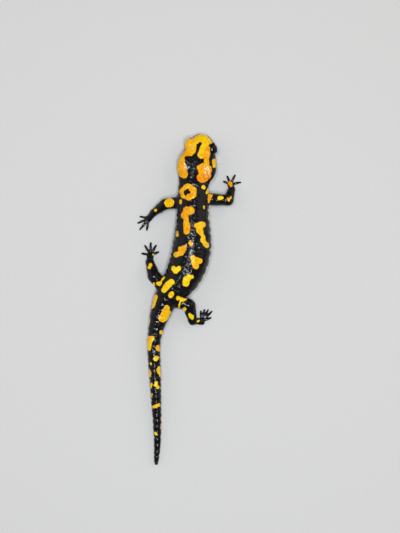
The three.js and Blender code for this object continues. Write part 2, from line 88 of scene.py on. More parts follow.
# The balls of a nostril: 1 joined on or -1 cut out, distance out, radius, blend.
NOSTRIL_BALLS = [(1, -0.4, 0.62, 0.55), (-1, 0.24, 0.33, 0.14), (-1, -0.1, 0.23, 0.1)]
MOUTH = np.array([(0, 4.0), (3, 3.9), (6, 3.65), (9, 3.6), (12, 4.0), (14.2, 4.6)])
LIP = {"radius": 0.55, "proud": 0.2, "front": 0.15, "taper": (0.6, 1, 1, 1, 0.6), "blend": 0.5}
LIP_BACKS = (13.6, 11.5, 9.5, 7.5, 5.5, 3.8, 2.4, 1.4, 0.8)
CLEFT = {"over": 0.15, "sunk": 0.05, "front": 0.1, "deep": 0.85, "half": 0.13, "reach": 1.2,
         "blend": 0.12}
CLOACA = {"back": 101.5, "size": (0.9, 5.5, 1.6), "reach": 5, "blend": 0.3}

LIMBS = [
    # root, elbow or knee, wrist or ankle, palm, tips of the digits
    ("arm", (-2.6, 54.2, 7.0), (-13.0, 53.1, 5.2), (-19.6, 48.4, 2.3), (-22.2, 45.4, 1.0),
     ((-27.0, 46.4), (-28.3, 42.9), (-27.1, 39.4), (-23.4, 39.0))),
    ("arm", (7.4, 55.9, 7.0), (21.5, 55.2, 5.4), (23.5, 61.2, 2.3), (23.0, 64.2, 1.0),
     ((19.2, 65.8), (21.2, 68.7), (25.4, 69.3), (28.4, 65.4))),
    ("leg", (-10.8, 4.6, 6.3), (-19.2, 13.3, 5.8), (-21.6, 21.0, 2.5), (-21.4, 25.2, 1.1),
     ((-16.9, 26.8), (-18.3, 30.4), (-21.2, 31.7), (-24.3, 30.2), (-26.0, 26.0))),
    ("leg", (-9.6, 1.4, 6.3), (0.1, -2.6, 5.9), (1.9, -11.2, 2.5), (6.9, -11.6, 1.1),
     ((6.5, -6.0), (8.5, -5.3), (10.5, -5.4), (12.5, -6.2), (12.0, -9.6))),
]
LIMB_SIZES = {
    "arm": {"radii": (3.6, 3.35, 2.8, 2.6, 1.9), "width": 1.9, "height": 1.05,
            "digit": 0.74, "tip": 0.5},
    "leg": {"radii": (4.2, 3.9, 3.3, 3.1, 2.3), "width": 2.0, "height": 1.15,
            "digit": 0.8, "tip": 0.52},
}
LIMB_MARGIN = 9  # room for a limb's radii and digits round its joints
ELBOW_BLEND, WRIST_BLEND, DIGIT_BLEND, ROOT_BLEND = 1.2, 0.8, 0.45, 1.5
# Where a digit starts and bends, from the palm to its tip, and its levels and radii in turn
# as shares of its own radius, the last as a share of its tip's.
DIGIT = {"start": 0.12, "knuckle": 0.62, "levels": (0.8, 1.05, 0.7),
         "swell": (1, 0.95, 0.86, 0.95, 0.78, 1.04)}
SOLE_MIDDLE = (0.9, 1.2)  # the hand's width and height halfway from the wrist, as shares

COARSE, FINE = 0.22, 0.11  # voxels of the body and of the head
SEAM_Y = 62.0  # where the head's finer mesh ends, across the neck
NECK_X = 17.0  # between the neck and the right hand
HEAD_BOX = (-8, 60.5, -0.8), (NECK_X + 0.5, 93.5, 13.6)
BODY_BOX = (-31, -93.5, -0.8), (31.5, 71.5, 17.6)
SEAM_GAP = COARSE * 0.45  # on each side of the seam, which a band of triangles closes
PLAIN = 0.01  # a blend too small to show
FLOOR_BLEND = 0.25
SIDES = (-1, 1)
FULL_TURN = 2 * np.pi

# Pairs of values between which a share rises smoothly from 0 to 1.
RISE = {
    "lid_edge": (1.05, 1.85), "lid_front": (-0.4, 0.8), "drop": (0, 1.5),
    "off_body": (0.5, 1.6), "far_off": (2.5, 3.5), "behind_head": (30, 33),
    "glands_start": (30, 36), "glands_end": (120, 160), "gland_top": (0.7, 0.95),
    "flat": (0.3, 0.8), "nape": (22, 30), "flank": (0.35, 0.8), "tail": (104, 116),
    "throat": (0.1, 0.6), "underside": (0.2, 0.9), "nostril": (0.26, 0.42),
    "round_eye": (EYE["radius"] + 0.15, EYE["radius"] + 0.9), "round_mouth": (0.3, 0.9),
    "mouth_corner": (14, 15.5), "off_floor": (0.02, 0.5),
}


def soft_step(low, high, value):
    t = np.clip((value - low) / (high - low), 0, 1)
    return t * t * (3 - 2 * t)


def rise(name, value):
    return soft_step(*RISE[name], value)


def soft_pair(a, b, blend):
    """The lesser of two distances, rounded where they are within a blend of each other."""
    share = np.clip(0.5 + 0.5 * (a - b) / blend, 0, 1)
    return a + (b - a) * share - blend * share * (1 - share)


def soft_min(a, b, blend):
    return soft_pair(a, b, blend).astype(np.float32)


# ---- the body's own places

def eased_curve(start, change, leave, arrive, t):
    """A cubic from a start over a change, with the slopes at its two ends."""
    square, cube = 3 * change - 2 * leave - arrive, leave + arrive - 2 * change
    return start + leave * t + square * t ** 2 + cube * t ** 3


def smooth_line(points, per=32):
    """Many points on the centripetal curve through a few."""
    p = np.asarray(points, float)
    p = np.vstack([2 * p[0] - p[1], p, 2 * p[-1] - p[-2]])
    t = np.linspace(0, 1, per, endpoint=False)[:, None]
    parts = []
    for a, b, c, d in zip(p[:-3], p[1:-2], p[2:-1], p[3:]):
        d0, d1, d2 = (np.linalg.norm(v) ** 0.5 for v in (b - a, c - b, d - c))
        leave = ((b - a) / d0 - (c - a) / (d0 + d1) + (c - b) / d1) * d1
        arrive = ((c - b) / d1 - (d - b) / (d1 + d2) + (d - c) / d2) * d1
        parts.append(eased_curve(b, c - b, leave, arrive, t))
    return np.vstack(parts + [p[-2:-1]])


def walk(line, shares):
    """Places at shares of a line's length."""
    run = np.concatenate([[0], np.cumsum(np.linalg.norm(np.diff(line, axis=0), axis=1))])
    along = np.asarray(shares) * run[-1]
    return np.stack([np.interp(along, run, column) for column in line.T], axis=-1)


def eased(column, backs):
    """A column of the sections, eased from row to row without overshooting."""
    x, y = SECTIONS[:, 0], SECTIONS[:, column]
    rises = np.diff(y) / np.diff(x)
    both = rises[:-1] * rises[1:] > 0
    total = np.where(both, rises[:-1] + rises[1:], 1)
    inner = np.where(both, 2 * rises[:-1] * rises[1:] / total, 0)
    slope = np.concatenate([[rises[0]], inner, [rises[-1]]])
    i = np.clip(np.searchsorted(x, backs, side="right") - 1, 0, len(x) - 2)
    span = x[i + 1] - x[i]
    t = np.clip((backs - x[i]) / span, 0, 1)
    return eased_curve(y[i], y[i + 1] - y[i], span * slope[i], span * slope[i + 1], t)


STEP = 0.25
BACKS = np.arange(0, BODY_LENGTH + STEP, STEP).clip(0, BODY_LENGTH)
MIDDLE = walk(smooth_line(SPINE, 64), BACKS / BODY_LENGTH)
FORWARD = -np.gradient(MIDDLE, axis=0)
FORWARD /= np.linalg.norm(FORWARD, axis=1)[:, None]


def spine_at(backs):
    """Middle, right and forward of the body, in plan."""
    middle, forward = (np.stack([np.interp(backs, BACKS, line[:, k]) for k in (0, 1)], axis=-1)
                       for line in (MIDDLE, FORWARD))
    forward /= np.linalg.norm(forward, axis=-1, keepdims=True)
    return middle, np.stack([forward[..., 1], -forward[..., 0]], axis=-1), forward


def body_point(back, out, height):
    middle, right, _ = spine_at(np.float64(back))
    return np.array([*(middle + right * out), height])


def beside(part, side):
    """The place of one of the two parts that lie on both sides of the head."""
    return body_point(part["back"], side * part["out"], part["height"])


def body_heading(back):
    """Turn in plan that takes +Y to the body's forward."""
    _, _, forward = spine_at(np.float64(back))
    return math.atan2(-forward[0], forward[1])


def body_places(points):
    """Distance back from the snout and distance out to the right, of points in plan."""
    xy = np.asarray(points, np.float64)[:, :2]
    back, out = np.empty((2, len(xy)))
    coarse, batch = slice(None, None, 8), 50000
    for start in range(0, len(xy), batch):
        piece = slice(start, start + batch)
        gaps = ((xy[piece, None] - MIDDLE[None, coarse]) ** 2).sum(-1)
        guess = BACKS[coarse][gaps.argmin(1)]
        for _ in range(4):
            middle, right, forward = spine_at(guess)
            offset = xy[piece] - middle
            back[piece] = guess - (offset * forward).sum(-1)
            guess = np.clip(back[piece], 0, BODY_LENGTH)
        out[piece] = (offset * right).sum(-1)
    return back, out


def groove_depth(row, backs):
    turn = (backs - row["first"]) / row["pitch"]
    wave = (0.5 + 0.5 * np.cos(2 * np.pi * turn)) ** GROOVE_POWER
    return np.where((turn > -0.5) & (turn < row["count"] - 0.5), row["depth"] * wave, 0)


def mouth_height(back):
    return np.interp(back, MOUTH[:, 0], MOUTH[:, 1])


def half_width_at(back, height):
    half, middle, top, bottom = (eased(k, np.float64(back)) for k in (HALF, WIDEST, TOP, BOTTOM))
    above = height > middle
    reach = top - middle if above else middle - bottom
    power = ROUND_ABOVE if above else ROUND_BELOW
    return half * (1 - min(abs(height - middle) / reach, 1) ** power) ** (1 / power)


# ---- closed meshes to build from

def skin_over(rings, first, last):
    """A closed mesh of rings of points, each end closed round one point."""
    count, around = rings.shape[:2]
    here = np.arange(count * around).reshape(count, around)
    beside = np.roll(here, -1, axis=1)
    a, b, c, d = here[:-1], beside[:-1], beside[1:], here[1:]
    faces = [np.stack([a, b, c], -1).reshape(-1, 3), np.stack([a, c, d], -1).reshape(-1, 3)]
    pole = np.full(around, count * around)
    faces.append(np.stack([pole, beside[0], here[0]], -1))
    faces.append(np.stack([pole + 1, here[-1], beside[-1]], -1))
    return np.vstack([rings.reshape(-1, 3), [first], [last]]), np.vstack(faces)


def ring_angles(count, first=0.5):
    return 2 * np.pi * (np.arange(count) + first) / count


def body_mesh():
    """The trunk, head and tail, from the sections."""
    near = np.array([0.03, 0.08, 0.15, 0.25, 0.4, 0.6, 0.85])  # rings crowd at both ends
    backs = np.concatenate([near, np.arange(1.1, 186.5, STEP), BODY_LENGTH - near[::-1]])
    middle, right, _ = spine_at(backs)
    half, widest, top, bottom = (eased(k, backs) for k in (HALF, WIDEST, TOP, BOTTOM))
    costal, annular = groove_depth(COSTAL, backs), groove_depth(ANNULAR, backs)
    from_fold = (backs - GULAR_FOLD["at"]) / GULAR_FOLD["width"]
    fold = GULAR_FOLD["depth"] * np.exp(-from_fold ** 2)
    angles = ring_angles(BODY_AROUND)
    side, lift = np.cos(angles)[None], np.sin(angles)[None]
    power = 2 / np.where(lift > 0, ROUND_ABOVE, ROUND_BELOW)
    inset = costal[:, None] * side ** 2 * (1 - OVER_BACK * np.maximum(lift, 0)) + annular[:, None]
    inset = inset + fold[:, None] * np.maximum(0, GULAR_FOLD["top"] - lift)
    out = (half[:, None] - inset) * np.sign(side) * np.abs(side) ** power
    above, below = top - widest - annular, widest - bottom - fold
    reach = np.where(lift > 0, above[:, None], below[:, None])
    height = widest[:, None] + reach * np.sign(lift) * np.abs(lift) ** power
    plan = middle[:, None] + right[:, None] * out[..., None]
    rings = np.concatenate([plan, np.maximum(height, BELOW_FLOOR)[..., None]], -1)
    snout, tail_end = (body_point(*SECTIONS[k, [0, HALF, WIDEST]]) for k in (0, -1))
    return skin_over(rings, snout, tail_end)


def tube_mesh(points, sections, around=24, steps=24):
    """A tube with round ends along a smooth line; sections are half widths and half heights."""
    shares = np.linspace(0, 1, steps + 1)
    middles = walk(smooth_line(points), shares)
    along = np.gradient(middles, axis=0)
    along /= np.linalg.norm(along, axis=1)[:, None]
    sections = np.asarray(sections, float)
    marks = np.linspace(0, 1, len(sections))
    sizes = np.stack([np.interp(shares, marks, sections[:, k]) for k in (0, 1)], -1)
    turns = np.linspace(0, np.pi / 2, 5)[1:-1]
    start_reach, end_reach = sections[0][0], sections[-1][0]
    rows = [(0, -start_reach * math.sin(t), math.cos(t)) for t in turns[::-1]]
    rows += [(k, 0.0, 1.0) for k in range(steps + 1)]
    rows += [(steps, end_reach * math.sin(t), math.cos(t)) for t in turns]
    angles = ring_angles(around)
    rings = []
    for k, ahead, shrink in rows:
        side = np.cross(along[k], (0, 0, 1))
        side /= np.linalg.norm(side)
        lift = np.cross(side, along[k])
        ring = middles[k] + along[k] * ahead
        ring = ring + np.outer(np.cos(angles) * sizes[k, 0] * shrink, side)
        rings.append(ring + np.outer(np.sin(angles) * sizes[k, 1] * shrink, lift))
    ends = middles[0] - along[0] * start_reach, middles[-1] + along[-1] * end_reach
    return skin_over(np.array(rings), *ends)


def round_sections(radii):
    return [(radius, radius) for radius in radii]


# ---- distances on a box of voxels

BAND = 11  # voxels on each side of a surface over which distances are known


class Field:
    """Distance to the skin over a box of voxels, in millimetres, less than 0 inside."""

    def __init__(self, low, high, voxel):
        self.voxel = voxel
        self.transform = vdb.createLinearTransform(voxelSize=voxel)
        self.first = np.floor(np.array(low) / voxel).astype(int)
        self.last = np.ceil(np.array(high) / voxel).astype(int)
        self.far = BAND * voxel
        self.values = np.full(self.last - self.first, self.far, np.float32)

    def part(self, first, last):
        """The slices of the values between two corners in voxels."""
        return tuple(slice(i - f, j - f) for i, j, f in zip(first, last, self.first))

    def window(self, low, high):
        """The part of the box between two corners: slices, first voxel and coordinates."""
        a = np.maximum(np.floor(np.array(low) / self.voxel).astype(int), self.first)
        b = np.minimum(np.ceil(np.array(high) / self.voxel).astype(int) + 1, self.last)
        if (b <= a).any():
            return None
        return self.part(a, b), a, np.ix_(*(np.arange(i, j) * self.voxel for i, j in zip(a, b)))

    def add(self, mesh, blend):
        """Joins a closed mesh on, with a fillet."""
        points, faces = mesh
        reach = self.far + self.voxel
        found = self.window(points.min(0) - reach, points.max(0) + reach)
        if found is None:
            return
        slices, first, _ = found
        grid = vdb.FloatGrid.createLevelSetFromPolygons(
            points.astype(np.float32), triangles=faces.astype(np.uint32),
            transform=self.transform, halfWidth=float(BAND),
        )
        part = np.empty([s.stop - s.start for s in slices], np.float32)
        grid.copyToArray(part, ijk=tuple(int(v) for v in first))
        self.values[slices] = soft_min(self.values[slices], part, blend)

    def join(self, low, high, distance, blend, sign=1):
        """Joins on a form given as a function of x, y and z, or cuts it out with a sign of -1."""
        found = self.window(low, high)
        if found:
            slices, _, places = found
            values = soft_min(sign * self.values[slices], distance(*places), blend)
            self.values[slices] = sign * values

    def cut(self, low, high, distance, blend):
        self.join(low, high, distance, blend, -1)

    def merge(self, other, blend):
        """Joins on another field that has the same voxels."""
        a, b = np.maximum(self.first, other.first), np.minimum(self.last, other.last)
        if (b > a).all():
            here, there = self.part(a, b), other.part(a, b)
            self.values[here] = soft_min(self.values[here], other.values[there], blend)

    def mesh(self):
        grid = vdb.FloatGrid(self.far)
        grid.transform = self.transform
        values = np.clip(self.values, -self.far, self.far)
        grid.copyFromArray(values, ijk=tuple(int(v) for v in self.first))
        points, quads = grid.convertToQuads(0.0)
        return points.astype(np.float64), quads.astype(np.int64)


def ball(centre, radius):
    cx, cy, cz = centre

    def distance(x, y, z):
        return np.sqrt((x - cx) ** 2 + (y - cy) ** 2 + (z - cz) ** 2) - radius

    return distance


def ellipsoid(size, centre, turn):
    """An ellipsoid of full sizes across, along and up, turned in plan."""
    a, b, c = (s / 2 for s in size)
    cos, sin = math.cos(turn), math.sin(turn)

    def distance(x, y, z):
        dx, dy, dz = x - centre[0], y - centre[1], z - centre[2]
        u, v = dx * cos + dy * sin, dy * cos - dx * sin
        one = np.sqrt((u / a) ** 2 + (v / b) ** 2 + (dz / c) ** 2)
        two = np.sqrt((u / a ** 2) ** 2 + (v / b ** 2) ** 2 + (dz / c ** 2) ** 2)
        return one * (one - 1) / np.maximum(two, 1e-6)

    return distance


def around(centre, reach):
    return np.array(centre) - reach, np.array(centre) + reach


# ---- head

def eye_axes(side):
    """The eye's middle, and the directions along its lids, up across them, and out."""
    _, right, forward = spine_at(np.float64(EYE["back"]))
    gaze = np.array([side, GAZE["forward"], GAZE["up"]])
    gaze /= math.hypot(1, GAZE["forward"], GAZE["up"])
    out = np.array([*(right * gaze[0] + forward * gaze[1]), gaze[2]])
    along = np.cross((0, 0, 1), out)
    along /= np.linalg.norm(along)
    return beside(EYE, side), along, np.cross(out, along), out


def add_head(field):
    """The swellings of the lids and of the glands behind the eyes, and the lips."""
    for side in SIDES:
        for part in (LIDS, PAROTOID):
            middle = beside(part, side)
            turn = body_heading(part["back"]) + side * math.radians(part["turn"])
            form = ellipsoid(part["size"], middle, turn)
            field.join(*around(middle, part["reach"]), form, part["blend"])
    radius, sunk = LIP["radius"], LIP["radius"] - LIP["proud"]
    sections = round_sections([share * radius for share in LIP["taper"]])
    for over in (radius, -radius):
        line = round_snout(LIP_BACKS, over, sunk, sunk + LIP["front"])
        field.add(tube_mesh(line, sections, around=16, steps=120), LIP["blend"])


def round_snout(backs, over, sunk, front):
    """Points round the snout, over the line of the mouth by a height and in from the side."""
    def place(back, side):
        height = mouth_height(back) + over
        return body_point(back, side * (half_width_at(back, height) - sunk), height)

    left, right = ([place(back, side) for back in backs] for side in SIDES)
    return [*left, body_point(front, 0, mouth_height(0) + over), *right[::-1]]


def cut_mouth(field):
    """A thin cleft between the lips."""
    backs = (MOUTH[-1, 0], *LIP_BACKS)
    line = smooth_line(round_snout(backs, CLEFT["over"], CLEFT["sunk"], CLEFT["front"]), 24)

    def cleft(x, y, z):
        # distance to the line in plan, and its height there
        plan = np.full((x.shape[0], y.shape[1]), np.inf)
        level = np.zeros_like(plan)
        for px, py, pz in line:
            gap = np.hypot(x[:, :, 0] - px, y[:, :, 0] - py)
            near = gap < plan
            plan = np.where(near, gap, plan)
            level = np.where(near, pz, level)
        upward = (z - level[..., None]) / CLEFT["half"]
        return (np.sqrt((plan[..., None] / CLEFT["deep"]) ** 2 + upward ** 2) - 1) * CLEFT["half"]

    field.cut(line.min(0) - CLEFT["reach"], line.max(0) + CLEFT["reach"], cleft, CLEFT["blend"])


def open_eyes(field):
    """The lids close in on each eye, open in an almond and end in a low roll round it."""
    half, tall = OPENING["length"] / 2, OPENING["height"] / 2
    margin, low_roll = LID["margin"], LID["lower_roll"]
    for side in SIDES:
        centre, along, lift, out = eye_axes(side)

        def local(x, y, z):
            d = (x - centre[0], y - centre[1], z - centre[2])
            return [sum(axis[k] * d[k] for k in range(3)) for axis in (along, lift, out)]

        def roll(x, y, z):
            u, v, w = local(x, y, z)
            best = np.full(np.broadcast(u, v, w).shape, np.inf)
            for t in np.linspace(-1, 1, LID["steps"]):
                for up, thick in ((1, LID["upper_roll"]), (-1, low_roll)):
                    thick = low_roll + (thick - low_roll) * (1 - t * t)
                    a, b = t * (half + margin), up * (tall + margin) * (1 - t * t)
                    c = math.sqrt((EYE["radius"] + thick) ** 2 - a * a - b * b)
                    away = np.sqrt((u - a) ** 2 + (v - b) ** 2 + (w - c) ** 2) - thick
                    best = np.minimum(best, away)
            return best

        def opening(x, y, z):
            u, v, w = local(x, y, z)
            edge = np.abs(v) - tall * (1 - (u / half) ** 2)
            slope = np.sqrt(1 + (2 * tall * u / half ** 2) ** 2)
            return np.maximum(edge / slope, OPENING["front"] - w)

        slices, _, places = field.window(*around(centre, LID["room"]))
        u, v, w = local(*places)
        near = np.sqrt((u / half) ** 2 + (v / tall) ** 2)
        share = (1 - rise("lid_edge", near)) * rise("lid_front", w)
        over = EYE["radius"] + LID["thick"] + LID["brow"] * np.clip(v / tall, 0, 1)
        lid = np.sqrt(u * u + v * v + w * w) - over
        field.values[slices] += (share * (lid - field.values[slices])).astype(np.float32)
        field.join(*around(centre, LID["reach"]), roll, LID["blend"])
        field.cut(*around(centre, OPENING["reach"]), opening, OPENING["blend"])
        room = ball(centre, EYE["radius"] + SOCKET["slack"])
        field.cut(*around(centre, SOCKET["reach"]), room, SOCKET["blend"])


def open_nostrils(field):
    for side in SIDES:
        place = beside(NOSTRIL, side)
        outward = np.array(NOSTRIL["facing"]) * (side, 1, 1)
        outward /= np.linalg.norm(outward)
        for sign, away, radius, blend in NOSTRIL_BALLS:
            form = ball(place + away * outward, radius)
            field.join(*around(place, NOSTRIL["reach"]), form, blend, sign)


# ---- limbs

def add_limbs(field):
    for kind, *joints, tips in LIMBS:
        sizes, joints = LIMB_SIZES[kind], np.array(joints)
        radii, digit, palm = sizes["radii"], sizes["digit"], joints[-1]
        limb = Field(joints.min(0) - LIMB_MARGIN, joints.max(0) + LIMB_MARGIN, field.voxel)
        limb.add(tube_mesh(joints[:2], round_sections(radii[:3])), PLAIN)
        limb.add(tube_mesh(joints[1:3], round_sections(radii[2:])), ELBOW_BLEND)
        sole = sizes["width"], sizes["height"]
        middle = tuple(size * share for size, share in zip(sole, SOLE_MIDDLE))
        limb.add(tube_mesh(joints[2:], [(radii[-1], radii[-1]), middle, sole]), WRIST_BLEND)
        own = [digit] * 5 + [sizes["tip"]]
        swell = [size * share for size, share in zip(own, DIGIT["swell"])]
        levels = [size * share for size, share in zip(own[-3:], DIGIT["levels"])]
        for x, y in tips:
            tip = np.array([x, y, levels[2]])
            start = palm + (tip - palm) * DIGIT["start"]
            knuckle = palm + (tip - palm) * DIGIT["knuckle"]
            start[2], knuckle[2] = levels[:2]
            limb.add(tube_mesh([start, knuckle, tip], round_sections(swell), 20, 20), DIGIT_BLEND)
        field.merge(limb, ROOT_BLEND)


def cut_below(field):
    """Everything that rests on the floor is flat there, with a small round edge."""
    z = (np.arange(field.first[2], field.last[2]) * field.voxel).astype(np.float32)
    field.values = -soft_min(-field.values, np.broadcast_to(z, field.values.shape), FLOOR_BLEND)


def shape(box, voxel, head):
    field = Field(*box, voxel)
    field.add(body_mesh(), PLAIN)
    add_head(field)
    if head:
        open_eyes(field)
        open_nostrils(field)
        cut_mouth(field)
    else:
        add_limbs(field)
        vent = body_point(CLOACA["back"], 0, 0.0)
        slit = ellipsoid(CLOACA["size"], vent, body_heading(CLOACA["back"]))
        field.cut(*around(vent, CLOACA["reach"]), slit, CLOACA["blend"])
    cut_below(field)
    return field.mesh()


# ---- one mesh of two finenesses

def edge_loop(faces):
    """The longest open edge of a mesh of quads, as its points in order."""
    edges = np.vstack([np.stack([faces[:, k], faces[:, (k + 1) % 4]], -1) for k in range(4)])
    size = int(edges.max()) + 1
    keys, back_keys = edges[:, 0] * size + edges[:, 1], edges[:, 1] * size + edges[:, 0]
    onward = {int(a): int(b) for a, b in edges[~np.isin(keys, back_keys)]}
    best = []
    while onward:
        start, following = onward.popitem()
        loop = [start]
        while following != start and following in onward:
            loop.append(following)
            following = onward.pop(following)
        if len(loop) > len(best):
            best = loop
    return best


def kept(points, faces, keep):
    faces = faces[keep]
    used = np.unique(faces)
    number = np.full(len(points), -1)
    number[used] = np.arange(len(used))
    return points[used], number[faces]


def one_way_round(points, loop, centre):
    """A loop in the order of its turns round a centre, the turns, and whether that was back."""
    x, _, z = (points[loop] - centre).T
    turns = np.unwrap(np.arctan2(z, x))
    back = turns[-1] < turns[0]
    return (loop[::-1], turns[::-1], True) if back else (loop, turns, False)


def whole_skin():
    """The head's mesh and the body's, and the band of triangles that joins them round the neck."""
    head_points, head_faces = shape(HEAD_BOX, FINE, True)
    body_points, body_faces = shape(BODY_BOX, COARSE, False)
    ahead = (head_points[:, 1] > SEAM_Y + SEAM_GAP)[head_faces].all(1)
    head_points, head_faces = kept(head_points, head_faces, ahead)
    in_head = (body_points[:, 1] > SEAM_Y - SEAM_GAP) & (body_points[:, 0] < NECK_X)
    body_points, body_faces = kept(body_points, body_faces, ~in_head[body_faces].any(1))
    loop_a, loop_b = edge_loop(head_faces), edge_loop(body_faces)
    centre = head_points[loop_a].mean(0)
    loop_a, turn_a, flip_a = one_way_round(head_points, loop_a, centre)
    loop_b, turn_b, _ = one_way_round(body_points, loop_b, centre)
    shift = int(np.argmin(np.abs(np.angle(np.exp(1j * (turn_b - turn_a[0]))))))
    loop_b, turn_b = np.roll(loop_b, -shift), np.roll(turn_b, -shift)
    turn_a, turn_b = np.unwrap(turn_a), np.unwrap(turn_b)
    turn_b = turn_b + FULL_TURN * np.round((turn_a[0] - turn_b[0]) / FULL_TURN)
    turn_a, turn_b = (np.append(turns, turns[0] + FULL_TURN) for turns in (turn_a, turn_b))
    offset = len(head_points)
    a = np.append(loop_a, loop_a[0]).tolist()
    b = (np.append(loop_b, loop_b[0]) + offset).tolist()
    i = j = 0
    band = []
    while i < len(a) - 1 or j < len(b) - 1:
        step_a = j == len(b) - 1 or (i < len(a) - 1 and turn_a[i + 1] <= turn_b[j + 1])
        face = (a[i], a[i + 1], b[j]) if step_a else (a[i], b[j + 1], b[j])
        band.append(face if flip_a else face[::-1])
        i, j = (i + 1, j) if step_a else (i, j + 1)
    points = np.vstack([head_points, body_points])
    return points, np.vstack([head_faces, body_faces + offset]), np.array(band)


def point_normals(points, quads, triangles):
    normals = np.zeros_like(points)
    for faces in (quads, triangles):
        corners = [points[column] for column in faces.T]
        facing = np.cross(corners[2] - corners[0], corners[3 % len(corners)] - corners[1])
        for column in faces.T:
            np.add.at(normals, column, facing)
    return normals / np.maximum(np.linalg.norm(normals, axis=1, keepdims=True), 1e-12)


# ---- noise, the same on every run

def lattice(i, j, k, seed):
    """A number from 0 to 1 for each corner of a grid of cubes."""
    n = (i * 73856093) ^ (j * 19349663) ^ (k * 83492791) ^ (seed * 2654435761)
    n = (n ^ (n >> 13)) * 1274126177 & 0x7FFFFFFF
    n = (n ^ (n >> 15)) * 1103515245 & 0x7FFFFFFF
    return (n ^ (n >> 12)) / 0x7FFFFFFF


def noise(places, size, seed):
    """Smooth noise from -1 to 1, with bumps of about a size; size may differ by axis."""
    q = places / np.asarray(size, float)
    base = np.floor(q).astype(np.int64)
    t = q - base
    t = t * t * t * (t * (t * 6 - 15) + 10)
    total = 0
    for di in (0, 1):
        for dj in (0, 1):
            for dk in (0, 1):
                weight = (t[:, 0] if di else 1 - t[:, 0]) * (t[:, 1] if dj else 1 - t[:, 1])
                weight = weight * (t[:, 2] if dk else 1 - t[:, 2])
                corner = lattice(base[:, 0] + di, base[:, 1] + dj, base[:, 2] + dk, seed)
                total = total + weight * corner
    return 2 * total - 1


# ---- markings, as strokes in plan
# Each yellow mark has a tone, from 0, orange, to 1, lemon, and a chain of x, y and radius in
# millimetres. The black chains are cut out of the yellow.

